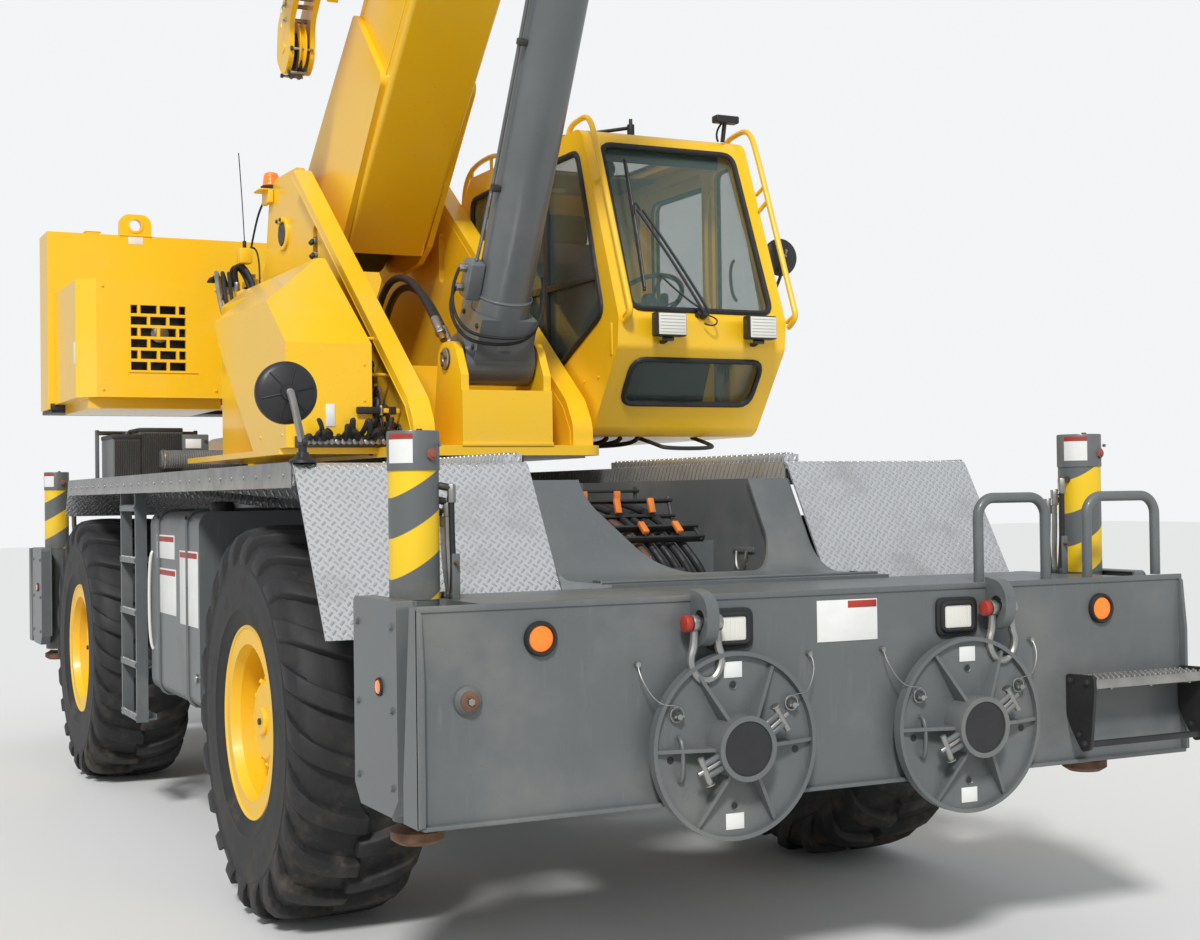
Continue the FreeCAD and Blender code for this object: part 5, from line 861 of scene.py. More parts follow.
def coolingDetail():
    part = Piece("cooling_detail", "carrier", "carrier_paint")
    # radiator core fins and headers
    part.box((-1.305, 2.100, 2.100), (-1.125, 2.505, 2.128), "blackPaintAndPaintedShade", 0.006)
    part.box((-1.135, 2.125, 2.145), (-0.855, 2.485, 2.172), "blackPaintAndPaintedShade", 0.006)
    for index in range(15):
        x = -1.290 + index * 0.0110
        part.box((x, 2.100, 1.860), (x + 0.004, 2.111, 2.095), "blackPaintAndPaintedShade", 0.0)
    for index in range(22):
        x = -1.122 + index * 0.0118
        part.box((x, 2.120, 1.860), (x + 0.005, 2.131, 2.140), "blackPaintAndPaintedShade", 0.0)
    part.spin([(0.030, 0), (0.030, 0.014), (0.022, 0.026), (0, 0.028)], (-1.176, 2.300, 2.128), (0, 0, 1), "blackPaintAndPaintedShade", 24)
    part.box((-0.864, 2.102, 2.010), (-0.696, 2.112, 2.128), "cylinderGrey", 0.003)
    part.box((-0.845, 2.096, 2.040), (-0.745, 2.104, 2.100), "labelWhite", 0.001)
    part.rod((-0.715, 2.104, 2.085), (-0.715, 2.092, 2.085), 0.010, "darkSteel", 16)
    # ribbed hose over the intake pipe, with clamps
    ribs = []
    for index in range(34):
        t = index * 0.0150
        ribs += [(0.0545, t), (0.0595, t + 0.0045), (0.0595, t + 0.0075), (0.0545, t + 0.0120)]
    part.spin(ribs, (-1.005, 2.100, 1.970), (1, 0, 0), "innerGrey", 36)
    for x in (-0.995, -0.505):
        part.spin([(0.060, 0), (0.064, 0.002), (0.064, 0.014), (0.060, 0.016)], (x, 2.100, 1.970), (1, 0, 0), "bareSteel", 36)
    for x in (-1.330, -1.060, -0.880, -0.690):
        part.box((x - 0.012, 2.485, 1.837), (x + 0.012, 2.510, 2.170), "carrierGrey", 0.003)
    part.pipe([(-1.330, 2.495, 2.150), (-0.690, 2.495, 2.150)], 0.014, "carrierGrey", False, 10)
    part.finish()
    vents = Piece("hood_vents", "carrier", "crane_yellow")
    for sign in (-1, 1):
        for index in range(9):
            y = 2.520 + 0.090 * index
            blade = [(y - 0.002, 1.850), (y + 0.044, 1.850), (y + 0.044, 2.020), (y - 0.002, 2.020)]
            turn = Matrix.Translation((sign * 0.4195, 0, 0))
            vents.box((-0.004, y + 0.006, 1.850), (0.004, y + 0.022, 2.020), "craneYellow", 0.002, turn=turn)
    vents.finish()


deckTrim()
hoseBundle()
tankTrim()
mirrorDetail()
coolingDetail()
print("deck dressed")


# Cab: seals, wipers, lights, rails, mirror, door glass and the operator's controls
cab = {"near": 0.505, "far": 1.480, "roof": 3.600, "floor": 2.050, "kneeY": -1.400, "kneeZ": 2.585}


def onScreen(x, z, out=0.0):
    # a point on the windscreen's slope, moved out square to it
    return Vector((x, -1.400 + (z - 2.585) * 0.394 - out * 0.930, z + out * 0.367))


def onChin(x, z, out=0.0):
    return Vector((x, -1.385 + (2.440 - z) * 0.7126 - out * 0.814, z - out * 0.580))


def seal(piece, corners, radius, place, thick=0.013, look="blackRubber"):
    piece.pipe([place(a, b) for a, b in rounding(corners, radius)], thick, look, False, 8, True)


def cabSkin():
    skin = Piece("cab_seals", "upper", "dark_paint")
    near, far = cab["near"], cab["far"]
    seal(skin, [(near + 0.080, 2.630), (far - 0.080, 2.630), (far - 0.095, 3.515), (near + 0.095, 3.515)], 0.062,
         lambda a, b: onScreen(a, b, 0.002), 0.015)
    seal(skin, [(near + 0.110, 2.168), (far - 0.110, 2.168), (far - 0.110, 2.382), (near + 0.110, 2.382)], 0.066,
         lambda a, b: onChin(a, b, 0.002), 0.015)
    for corners in ([(-0.960, 3.480), (-1.230, 2.620), (-0.700, 2.380), (-0.120, 2.380), (-0.120, 3.480)],
                    [(-0.050, 2.700), (0.480, 2.700), (0.480, 3.460), (-0.050, 3.480)]):
        seal(skin, corners, 0.062, lambda a, b: (near - 0.001, a, b), 0.017)
    seal(skin, [(-0.960, 3.480), (-1.230, 2.620), (-0.730, 2.620), (-0.730, 3.480)], 0.055,
         lambda a, b: (far + 0.001, a, b), 0.012)
    seal(skin, [(near + 0.120, 2.750), (far - 0.120, 2.750), (far - 0.120, 3.400), (near + 0.120, 3.400)], 0.060,
         lambda a, b: (a, 0.621, b), 0.012)
    seal(skin, [(near + 0.150, -0.750), (far - 0.150, -0.750), (far - 0.150, 0.150), (near + 0.150, 0.150)], 0.060,
         lambda a, b: (a, b, 3.601), 0.012)
    # sliding pane: an upright and a rail across the right-hand window
    skin.box((near - 0.006, -0.560, 2.400), (near + 0.020, -0.520, 3.475), "blackPaintAndPaintedShade", 0.003)
    skin.box((near - 0.004, -1.160, 2.795), (near + 0.016, -0.130, 2.830), "blackPaintAndPaintedShade", 0.003)
    skin.finish()

    rails = Piece("cab_rails", "upper", "crane_yellow")
    for x, out in ((near + 0.030, 0.075), (far + 0.010, 0.085)):
        run = [onScreen(x, 2.560, 0.0), onScreen(x, 2.565, out), onScreen(x, 2.640, out), onScreen(x, 3.100, out),
               onScreen(x, 3.500, out), onScreen(x, 3.640, out - 0.02), (x, -0.905, 3.660), (x, -0.800, 3.640),
               (x, -0.780, 3.590)]
        rails.pipe(run, 0.0150, "craneYellow", True, 14)
        for z in (2.590, 3.300):
            rails.rod(onScreen(x, z, -0.005), onScreen(x, z, out), 0.0105, "craneYellow", 14)
    tab = [onScreen(far + 0.010, 3.22, 0.085), onScreen(far - 0.006, 3.20, 0.010)]
    rails.rod(tab[0], tab[1], 0.012, "craneYellow", 12)
    rails.pipe([(near + 0.025, 0.05, 3.590), (near + 0.025, 0.08, 3.675), (near + 0.025, 0.40, 3.690), (near + 0.025, 0.62, 3.640),
                (near + 0.025, 0.700, 3.480), (near + 0.025, 0.700, 3.200), (near + 0.025, 0.690, 3.020), (near + 0.025, 0.615, 2.990)],
               0.0150, "craneYellow", True, 14)
    for y, z in ((0.25, 3.600), (0.55, 3.590)):
        rails.rod((near + 0.025, y, z - 0.03), (near + 0.025, y, z + 0.080), 0.010, "craneYellow", 12)
    # pressed seam and screws along the right-hand pillar
    for index in range(6):
        rails.bolt((near - 0.001, -1.17 + index * 0.165, 2.300 - index * 0.012), (-1, 0, 0), 0.007, "craneYellow")
    rails.box((near - 0.004, -1.330, 2.400), (near + 0.002, -1.300, 2.560), "craneYellow", 0.003)
    rails.finish()

    wipers = Piece("cab_wipers", "upper", "dark_paint")
    post = onScreen(0.985, 2.605, 0.045)
    wipers.rod(onScreen(0.985, 2.605, -0.004), post, 0.022, "blackPaintAndPaintedShade", 20, 0.003)
    wipers.rod(onScreen(0.955, 2.605, -0.004), onScreen(0.955, 2.605, 0.038), 0.014, "blackPaintAndPaintedShade", 16, 0.002)
    grip = onScreen(0.715, 3.130, 0.060)
    for shift in (-0.016, 0.016):
        wipers.pipe([post + Vector((shift, 0, 0)), onScreen(0.86 + shift, 2.87, 0.060), grip + Vector((shift, 0, 0))], 0.0075,
                    "blackPaintAndPaintedShade", True, 8)
    wipers.pipe([grip, onScreen(0.700, 3.215, 0.050), onScreen(0.690, 3.115, 0.032)], 0.006, "blackPaintAndPaintedShade", True, 8)
    wipers.pipe([onScreen(0.712, 3.420, 0.026), onScreen(0.695, 3.080, 0.034), onScreen(0.672, 2.730, 0.026)], 0.0065,
                "blackPaintAndPaintedShade", True, 8)
    wipers.pipe([onScreen(0.712, 3.430, 0.016), onScreen(0.695, 3.080, 0.016), onScreen(0.672, 2.720, 0.016)], 0.0085,
                "blackRubber", True, 8)
    wipers.pipe([onScreen(0.770, 2.80, 0.030), onScreen(0.880, 2.66, 0.045), post], 0.005, "blackPaintAndPaintedShade", True, 8)
    wipers.pipe([onScreen(1.00, 2.60, 0.02), onScreen(1.05, 2.57, 0.05), onScreen(1.02, 2.53, 0.03), onScreen(0.98, 2.56, 0.01)],
                0.004, "blackRubber", True, 8)
    wipers.rod((0.900, -0.800, 3.595), (0.900, -0.800, 3.690), 0.020, "blackPaintAndPaintedShade", 20, 0.003)
    wipers.rod((0.900, -0.800, 3.680), (0.900, -0.800, 3.720), 0.010, "darkSteel", 12, 0.002)
    for shift in (0, 0.030):
        wipers.pipe([(0.900, -0.800 + shift, 3.675), (0.740, -0.700 + shift, 3.655), (0.560, -0.560 + shift, 3.640)], 0.008,
                    "blackPaintAndPaintedShade", True, 8)
    wipers.pipe([(0.560, -0.750, 3.618), (0.560, -0.540, 3.624), (0.560, -0.330, 3.618)], 0.009, "blackRubber", True, 8)
    wipers.finish()

    lights = Piece("cab_work_lights", "upper", "dark_paint")
    for x in (0.747, 1.274):
        front, z, half, tall = -1.512, 2.545, 0.083, 0.060
        lights.box((x - half, front, z - tall), (x + half, front + 0.070, z + tall), "blackPaintAndPaintedShade", 0.010, 3)
        lights.box((x - half + 0.022, front + 0.060, z - tall + 0.018), (x + half - 0.022, front + 0.095, z + tall - 0.018),
                   "blackPaintAndPaintedShade", 0.008)
        lights.box((x - half + 0.007, front - 0.004, z - tall + 0.007), (x + half - 0.007, front + 0.012, z + tall - 0.007),
                   "lampGlass", 0.003)
        for index in range(6):
            row = z - 0.040 + index * 0.016
            lights.box((x - half + 0.014, front - 0.0055, row - 0.0015), (x + half - 0.014, front - 0.003, row + 0.0015),
                       "reflector", 0.0)
        lights.pipe([(x, front + 0.050, z - tall - 0.002), (x, front + 0.070, z - tall - 0.028), (x, -1.392, z - tall - 0.020)],
                    0.010, "blackPaintAndPaintedShade", True, 10)
        lights.rod((x - 0.030, front + 0.050, z - tall - 0.010), (x + 0.030, front + 0.050, z - tall - 0.010), 0.011,
                   "darkSteel", 14, 0.002)
    lights.box((1.290, -1.050, 3.690), (1.430, -0.990, 3.730), "blackPaintAndPaintedShade", 0.008, 3)
    lights.rod((1.360, -0.985, 3.595), (1.360, -1.010, 3.695), 0.012, "blackPaintAndPaintedShade", 14)
    lights.pipe([(1.335, -0.98, 3.600), (1.300, -1.00, 3.64), (1.340, -1.01, 3.690)], 0.006, "blackRubber", True, 8)
    # hanging step and the hoses under the floor
    lights.pipe([(0.860, -0.900, 2.005), (0.862, -1.100, 1.965), (0.880, -1.170, 1.940), (1.170, -1.170, 1.940),
                 (1.190, -1.100, 1.965), (1.192, -0.900, 2.005)], 0.011, "blackPaintAndPaintedShade", True, 10)
    for index, x in enumerate((0.62, 0.70, 0.80)):
        lights.pipe([(x, -1.020, 2.000), (x, -1.000, 1.975), (x + 0.03, -0.60, 1.968), (x - 0.05, -0.10, 1.980), (x - 0.15, 0.30, 1.985)],
                    0.012, "blackRubber", True, 10)
    lights.finish()


def cabMirrorDetail():
    piece = Piece("cab_mirror_detail", "upper", "dark_paint")
    centre = Vector((1.590, -1.195, 2.960))
    piece.spin([(0, 0.026), (0.020, 0.026), (0.024, 0.018), (0.075, 0.010), (0.096, 0.000), (0.100, -0.008), (0.100, -0.020),
                (0.096, -0.024), (0, -0.021)], centre, (0, -1, 0), "blackPaintAndPaintedShade", 56)
    piece.rod(centre + Vector((0, 0.0225, 0)), centre + Vector((0, 0.0255, 0)), 0.094, "mirrorGlass", 56)
    piece.rod(centre + Vector((0, -0.024, 0)), centre + Vector((0, -0.040, 0)), 0.010, "bareSteel", 16, 0.002)
    piece.pipe([centre + Vector((0, -0.036, -0.004)), centre + Vector((-0.020, -0.040, -0.080)), (1.530, -1.225, 2.780),
                (1.500, -1.200, 2.720), (1.482, -1.195, 2.715)], 0.0085, "blackPaintAndPaintedShade", True, 10)
    piece.rod(centre + Vector((0, -0.030, 0.012)), centre + Vector((0, -0.052, 0.030)), 0.008, "bareSteel", 12, 0.002)
    piece.box((1.478, -1.235, 2.670), (1.488, -1.160, 2.760), "blackPaintAndPaintedShade", 0.003)
    for z in (2.690, 2.740):
        piece.bolt((1.488, -1.198, z), (1, 0, 0), 0.007)
    piece.finish("cab_mirror")


def cabDoorDetail():
    door = Piece("door_glass", "cab_door", "window_glass")
    hole = [(-0.560, 2.500), (0.060, 2.500), (0.060, 3.430), (-0.560, 3.430)]
    door.plate(rounding([(-0.566, 2.494), (0.066, 2.494), (0.066, 3.436), (-0.566, 3.436)], 0.06), "x", 1.502, 1.508, "cabGlass",
               0.0)
    door.finish()
    trim = Piece("door_trim", "cab_door", "dark_paint")
    seal(trim, hole, 0.062, lambda a, b: (1.523, a, b), 0.011)
    seal(trim, hole, 0.062, lambda a, b: (1.488, a, b), 0.010)
    trim.box((1.521, 0.085, 2.640), (1.530, 0.135, 2.790), "blackPaintAndPaintedShade", 0.004)
    trim.pipe([(1.524, 0.112, 2.670), (1.552, 0.112, 2.685), (1.552, 0.112, 2.750), (1.524, 0.112, 2.765)], 0.007, "bareSteel",
              True, 10)
    trim.pipe([(1.523, -0.600, 2.600), (1.560, -0.600, 2.620), (1.560, -0.600, 3.300), (1.523, -0.600, 3.320)], 0.011,
              "craneYellow", True, 10)
    trim.finish()


def cabInside():
    room = Piece("cab_controls", "upper", "seat_cloth")
    middle = 0.9925
    # headrest, side bolsters and the seat's stitched panels
    room.box((middle - 0.150, 0.215, 3.190), (middle + 0.150, 0.315, 3.370), "seatCloth", 0.035, 4)
    for way in (-1, 1):
        room.rod((middle + way * 0.070, 0.262, 3.120), (middle + way * 0.070, 0.266, 3.230), 0.008, "bareSteel", 10)
        room.plate([(0.030, 2.500), (0.130, 2.500), (0.235, 3.150), (0.150, 3.150)], "x",
                   min(way * 0.170, way * 0.245) + middle, max(way * 0.170, way * 0.245) + middle, "seatCloth", 0.022, 3)
        room.box((middle + way * 0.205 - 0.045, -0.390, 2.470), (middle + way * 0.205 + 0.045, 0.080, 2.535), "seatCloth", 0.022, 3)
        x = middle + way * 0.330
        room.box((x - 0.055, -0.330, 2.612), (x + 0.055, 0.090, 2.650), "blackRubber", 0.014, 3)
        room.spin([(0.045, 0), (0.038, 0.014), (0.024, 0.040), (0.014, 0.075)], (x, -0.360, 2.605), (0, 0, 1), "blackRubber", 24)
        room.rod((x, -0.360, 2.660), (x, -0.372, 2.780), 0.010, "darkSteel", 12)
        room.spin([(0, 0), (0.022, 0.006), (0.026, 0.050), (0.020, 0.085), (0, 0.092)], (x, -0.370, 2.760), (0, -0.1, 1),
                  "blackRubber", 20)
    room.pipe([(middle - 0.19, 0.09, 2.505), (middle + 0.19, 0.09, 2.505)], 0.006, "blackPaintAndPaintedShade", False, 8)
    # steering wheel on its column
    hub = Vector((middle, -0.800, 2.760))
    tilt = Vector((0, 0.55, 0.835)).normalized()
    ring = []
    across = Vector((1, 0, 0))
    along = tilt.cross(across)
    for step in range(28):
        a = step / 28 * math.tau
        ring.append(hub + (across * math.cos(a) + along * math.sin(a)) * 0.190)
    room.pipe(ring, 0.0135, "blackRubber", True, 12, True)
    for a in (0.5, 2.64, 4.71):
        room.rod(hub - tilt * 0.03, hub + (across * math.cos(a) + along * math.sin(a)) * 0.184, 0.009, "blackPaintAndPaintedShade", 12)
    room.rod(hub - tilt * 0.05, hub + tilt * 0.006, 0.040, "blackPaintAndPaintedShade", 24, 0.006)
    room.rod(hub - tilt * 0.04, (middle, -0.965, 2.430), 0.030, "blackPaintAndPaintedShade", 20)
    room.pipe([hub + Vector((0.03, 0.02, -0.05)), hub + Vector((0.15, 0.05, -0.03)), hub + Vector((0.21, 0.06, 0.0))], 0.006,
              "blackPaintAndPaintedShade", True, 8)
    # dash top, gauges, display and pedals
    room.box((middle - 0.215, -1.120, 2.425), (middle + 0.215, -0.890, 2.462), "blackRubber", 0.016, 3)
    for index in range(4):
        room.spin([(0.026, 0), (0.026, 0.010), (0.021, 0.013), (0.019, 0.006), (0, 0.006)],
                  (middle - 0.135 + index * 0.09, -0.935, 2.462), (0, 0.4, 1), "bareSteel", 20)
    room.box((1.300, -1.010, 2.470), (1.420, -0.975, 2.640), "blackPaintAndPaintedShade", 0.010, 3)
    room.box((1.310, -0.978, 2.485), (1.410, -0.972, 2.625), "mirrorGlass", 0.002)
    room.rod((1.360, -0.995, 2.300), (1.360, -0.995, 2.475), 0.014, "blackPaintAndPaintedShade", 14)
    for x in (middle - 0.14, middle + 0.02, middle + 0.15):
        room.box((x - 0.040, -0.870, 2.080), (x + 0.040, -0.790, 2.098), "blackRubber", 0.006, turn=None)
        room.rod((x, -0.850, 2.050), (x, -0.840, 2.090), 0.010, "darkSteel", 12)
    room.box((0.556, -0.900, 2.0505), (1.430, 0.560, 2.056), "blackRubber", 0.002)
    # lining, sun visor, grab handle and lamp
    room.box((0.560, -0.100, 3.535), (1.425, 0.480, 3.552), "innerGrey", 0.006)
    room.box((0.640, -0.935, 3.455), (1.360, -0.915, 3.530), "blackPaintAndPaintedShade", 0.004)
    room.spin([(0.050, 0), (0.046, 0.016), (0, 0.022)], (0.990, 0.320, 3.536), (0, 0, -1), "lampGlass", 24)
    room.pipe([(1.432, -0.740, 3.380), (1.395, -0.740, 3.360), (1.390, -0.740, 3.050), (1.395, -0.735, 2.700), (1.432, -0.735, 2.680)],
              0.012, "craneYellow", True, 12)
    room.pipe([(1.425, -0.980, 2.960), (1.395, -0.985, 2.940), (1.395, -1.000, 2.760), (1.425, -1.005, 2.740)], 0.009,
              "blackPaintAndPaintedShade", True, 10)
    for x in (0.600, 1.385):
        room.box((x - 0.022, -0.890, 2.100), (x + 0.022, -0.850, 2.420), "innerGrey", 0.008)
    room.spin([(0.060, 0), (0.070, 0.012), (0.060, 0.050), (0.030, 0.062), (0, 0.062)], (0.665, -0.930, 3.420), (0.2, 1, -0.2),
              "blackPaintAndPaintedShade", 24)
    room.finish()


cabSkin()
cabMirrorDetail()
cabDoorDetail()
cabInside()
print("cab dressed")


# Turntable: pins, valves, hoses, latch, beacon and antenna
def turntableTrim():
    trim = Piece("turntable_trim", "upper", "crane_yellow")
    for way in (-1, 1):
        side = way * 0.410
        trim.spin([(0.105, 0), (0.105, 0.010), (0.098, 0.016), (0.076, 0.016)], (side, 1.300, 3.330), (way, 0, 0), "craneYellow",
                  48)
        trim.box((min(side, side + way * 0.034), 1.245, 3.395), (max(side, side + way * 0.034), 1.355, 3.425), "craneYellow", 0.004)
        for y in (1.262, 1.338):
            trim.bolt((side + way * 0.034, y, 3.410), (way, 0, 0), 0.011)
        # weld beads where the flange meets the side plate, and the stiffener's foot
        for reach in (0.372, 0.478):
            trim.pipe([(way * reach, -1.108, 1.960), (way * reach, -1.108, 2.030), (way * reach, -1.030, 2.150),
                       (way * reach, 0.880, 3.602)], 0.0045, "craneYellow", False, 6)
        for index in range(9):
            a = math.radians(-64 + index * 16)
            trim.bolt((way * 0.565 * math.cos(a), 0.565 * math.sin(a), 1.955), (0, 0, 1), 0.013, "craneYellow")
    for index in range(36):
        a = index / 36 * math.tau
        trim.rod((0.520 * math.cos(a), 0.520 * math.sin(a), 1.846), (0.520 * math.cos(a), 0.520 * math.sin(a), 1.868), 0.016,
                 "darkSteel", 6, 0.002)
    trim.box((-0.245, -1.186, 1.950), (0.245, -1.180, 1.968), "craneYellow", 0.002)
    trim.finish()

    pins = Piece("lift_pin_caps", "lift_base_pin", "bearing_steel")
    for way in (-1, 1):
        centre = (way * 0.250, -0.970, 2.390)
        pins.spin([(0.0545, -0.004), (0.0545, 0.000), (0.050, 0.004), (0.018, 0.004), (0.016, -0.002), (0, -0.002)], centre,
                  (way, 0, 0), "bareSteel", 40)
        for index in range(3):
            a = index / 3 * math.tau + 0.6
            pins.rod((centre[0] + way * 0.002, centre[1] + 0.034 * math.sin(a), centre[2] + 0.034 * math.cos(a)),
                     (centre[0] + way * 0.012, centre[1] + 0.034 * math.sin(a), centre[2] + 0.034 * math.cos(a)), 0.0075,
                     "darkSteel", 6, 0.001)
    pins.finish()


def valveBank():
    bank = Piece("valve_bank", "upper", "dark_paint")
    rng = random.Random(11)
    # spools, solenoids and fittings between the cover and the side plate
    for row in range(7):
        y = -0.700 + row * 0.120
        z = 2.030 + row * 0.092
        bank.box((-0.545, y, z), (-0.425, y + 0.090, z + 0.085), "darkSteel" if row % 2 else "craneYellow", 0.008)
        for x in (-0.520, -0.480, -0.440):
            bank.rod((x, y - 0.002, z + 0.045), (x, y - 0.040, z + 0.045), 0.015, "bareSteel", 6, 0.002)
            bank.rod((x, y - 0.038, z + 0.045), (x, y - 0.062, z + 0.040), 0.011, "blackRubber", 12)
        bank.rod((-0.486, y + 0.045, z + 0.080), (-0.486, y + 0.045, z + 0.135), 0.020, "blackPaintAndPaintedShade", 20, 0.003)
        bank.rod((-0.486, y + 0.045, z + 0.130), (-0.486, y + 0.045, z + 0.146), 0.012, "brass", 12, 0.002)
    for index in range(16):
        x = rng.uniform(-0.545, -0.425)
        y = rng.uniform(-0.74, 0.02)
        z = 2.06 + (y + 0.74) * 0.74 + rng.uniform(-0.05, 0.12)
        reach = rng.uniform(0.16, 0.32)
        bank.pipe([(x, y, z), (x + rng.uniform(-0.03, 0.03), y - 0.07, z + 0.05), (x + rng.uniform(-0.03, 0.03), y - 0.05, z - reach * 0.5),
                   (x, y + 0.04, z - reach)], rng.choice((0.008, 0.011, 0.013)), rng.choice(("blackRubber", "blackRubber", "bareSteel")),
                  True, 8)
    # nest of hoses that comes out under the cover's front edge
    for index in range(15):
        x = -0.900 + index * 0.030
        lift = rng.uniform(0.02, 0.13)
        y = -0.795 - rng.uniform(0.0, 0.05)
        bank.pipe([(x, -0.700, 1.985), (x + 0.010, y, 1.990 + lift * 0.4), (x + rng.uniform(-0.05, 0.05), y - 0.030, 1.985 + lift),
                   (x + rng.uniform(-0.03, 0.06), y - 0.010, 2.010), (x + 0.02, -0.720, 1.968)], rng.choice((0.011, 0.014)),
                  "blackRubber", True, 8)
        bank.rod((x, -0.772, 1.978), (x, -0.806, 1.984), 0.0165, "bareSteel", 6, 0.002)
    bank.box((-0.960, -0.792, 1.955), (-0.450, -0.772, 2.012), "darkSteel", 0.004)
    # rubber latch across the gap, on two yellow ears
    bank.box((-0.640, -0.786, 2.128), (-0.420, -0.772, 2.152), "craneYellow", 0.004)
    bank.box((-0.650, -0.800, 2.122), (-0.520, -0.782, 2.158), "blackRubber", 0.007, 3)
    bank.rod((-0.520, -0.791, 2.115), (-0.520, -0.791, 2.165), 0.010, "bareSteel", 12, 0.002)
    bank.box((-0.480, -0.790, 2.120), (-0.440, -0.774, 2.160), "blackPaintAndPaintedShade", 0.004)
    bank.rod((-0.545, -0.560, 2.520), (-0.425, -0.560, 2.520), 0.009, "craneYellow", 12)
    bank.rod((-0.545, -0.640, 2.330), (-0.425, -0.640, 2.330), 0.009, "craneYellow", 12)
    bank.finish()

    cover = Piece("cover_trim", "upper", "crane_yellow")
    # blank label and screws on the folded cover
    cover.box((-0.800, -0.7745, 2.060), (-0.755, -0.7695, 2.170), "labelWhite", 0.0006)
    for z in (2.010, 2.190, 2.370):
        cover.bolt((-0.600, -0.770, z), (0, -1, 0), 0.007, "craneYellow")
    for y in (-0.700, -0.300):
        cover.bolt((-1.000, y, 2.020), (-1, 0, 0), 0.007, "craneYellow")
    cover.finish()


def looseHoses():
    hoses = Piece("upper_hoses", "upper", "dark_paint")
    for shift, lift in ((0.0, 0.0), (0.045, -0.050)):
        run = [(-0.150 + shift, 0.520, 2.300), (-0.150 + shift, 0.420, 2.640 + lift), (-0.155 + shift, 0.180, 2.900 + lift),
               (-0.160 + shift, -0.150, 2.915 + lift), (-0.165 + shift, -0.480, 2.760 + lift), (-0.170 + shift, -0.700, 2.560 + lift)]
        hoses.pipe(run, 0.020, "blackRubber", True, 14)
        end, before = Vector(run[-1]), Vector(run[-2])
        way = (end - before).normalized()
        hoses.rod(end - way * 0.10, end, 0.0235, "bareSteel", 20, 0.003)
        hoses.rod(end, end + way * 0.035, 0.029, "bareSteel", 6, 0.004)
        hoses.rod(end + way * 0.035, end + way * 0.085, 0.019, "brass", 16, 0.003)
    for x in (-0.300, -0.200, -0.100, 0.060, 0.150, 0.240):
        hoses.pipe([(x, 1.560, 2.060), (x, 1.000, 2.030), (x * 0.9, 0.560, 2.100), (x * 0.7, 0.100, 2.050), (x * 0.5, -0.350, 2.010),
                    (x * 0.5, -0.700, 1.990)], 0.017, "blackRubber", True, 10)
    for x, y in ((-0.30, 0.30), (-0.24, 0.12)):
        hoses.box((x - 0.05, y - 0.05, 1.955), (x + 0.05, y + 0.05, 2.120), "darkSteel", 0.008)
        hoses.rod((x, y, 2.115), (x, y, 2.160), 0.022, "bareSteel", 6, 0.003)
    # fittings seen through the slot of the right side plate
    for y, z in ((0.630, 3.050), (0.655, 3.120), (0.665, 3.200)):
        hoses.rod((-0.350, y, z), (-0.420, y, z), 0.022, "bareSteel", 6, 0.003)
        hoses.rod((-0.418, y, z), (-0.440, y - 0.01, z - 0.02), 0.015, "darkSteel", 14, 0.002)
    hoses.box((-0.366, 0.620, 3.010), (-0.345, 0.690, 3.240), "blackPaintAndPaintedShade", 0.004)
    # motor hoses that hang behind the cover
    for start, look, radius in ((-0.640, "bareSteel", 0.015), (-0.600, "blackRubber", 0.014), (-0.560, "blackRubber", 0.012)):
        hoses.pipe([(start + 0.06, 2.160, 3.060), (start, 2.080, 3.180), (start - 0.03, 1.960, 3.160), (start - 0.04, 1.840, 2.960),
                    (start, 1.760, 2.760), (start + 0.10, 1.700, 2.560)], radius, look, True, 12)
        hoses.rod((start + 0.06, 2.160, 3.060), (start + 0.035, 2.130, 3.100), radius * 1.5, "bareSteel", 6, 0.003)
    hoses.finish()

    top = Piece("beacon_and_antenna", "upper", "dark_paint")
    spot = (-0.405, 1.600, 3.655)
    top.box((-0.445, 1.520, 3.560), (-0.412, 1.680, 3.640), "craneYellow", 0.006)
    top.plate(rounding([(-0.500, 1.520), (-0.350, 1.520), (-0.350, 1.690), (-0.500, 1.690)], 0.03), "z", 3.638, 3.646,
              "craneYellow", 0.002)
    top.spin([(0.062, -0.010), (0.066, 0.000), (0.066, 0.016), (0.056, 0.022)], spot, (0, 0, 1), "blackRubber", 40)
    ribs = [(0.056, 0.018)]
    for index in range(5):
        z = 0.024 + index * 0.014
        ribs += [(0.055 - index * 0.0018, z), (0.052 - index * 0.0018, z + 0.007)]
    ribs += [(0.040, 0.100), (0.022, 0.108), (0, 0.110)]
    top.spin(ribs, spot, (0, 0, 1), "amberLens", 40)
    base = Vector((-0.480, 1.980, 3.330))
    top.box((-0.520, 1.930, 3.230), (-0.440, 2.030, 3.330), "craneYellow", 0.008)
    top.rod(base, base + Vector((0, 0, 0.050)), 0.012, "blackPaintAndPaintedShade", 16, 0.002)
    top.pipe([base + Vector((0, 0, 0.045)), base + Vector((-0.010, 0, 0.30)), base + Vector((-0.030, 0.01, 0.62))], 0.0035,
             "blackPaintAndPaintedShade", True, 6)
    top.pipe([base + Vector((0.01, 0, -0.02)), base + Vector((0.06, -0.02, 0.04)), base + Vector((0.09, -0.06, -0.12)),
              base + Vector((0.06, -0.12, -0.40))], 0.006, "blackRubber", True, 8)
    top.pipe([(-0.405, 1.66, 3.64), (-0.43, 1.76, 3.58), (-0.44, 1.90, 3.42), (-0.45, 1.95, 3.30)], 0.007, "blackRubber", True, 8)
    top.finish()


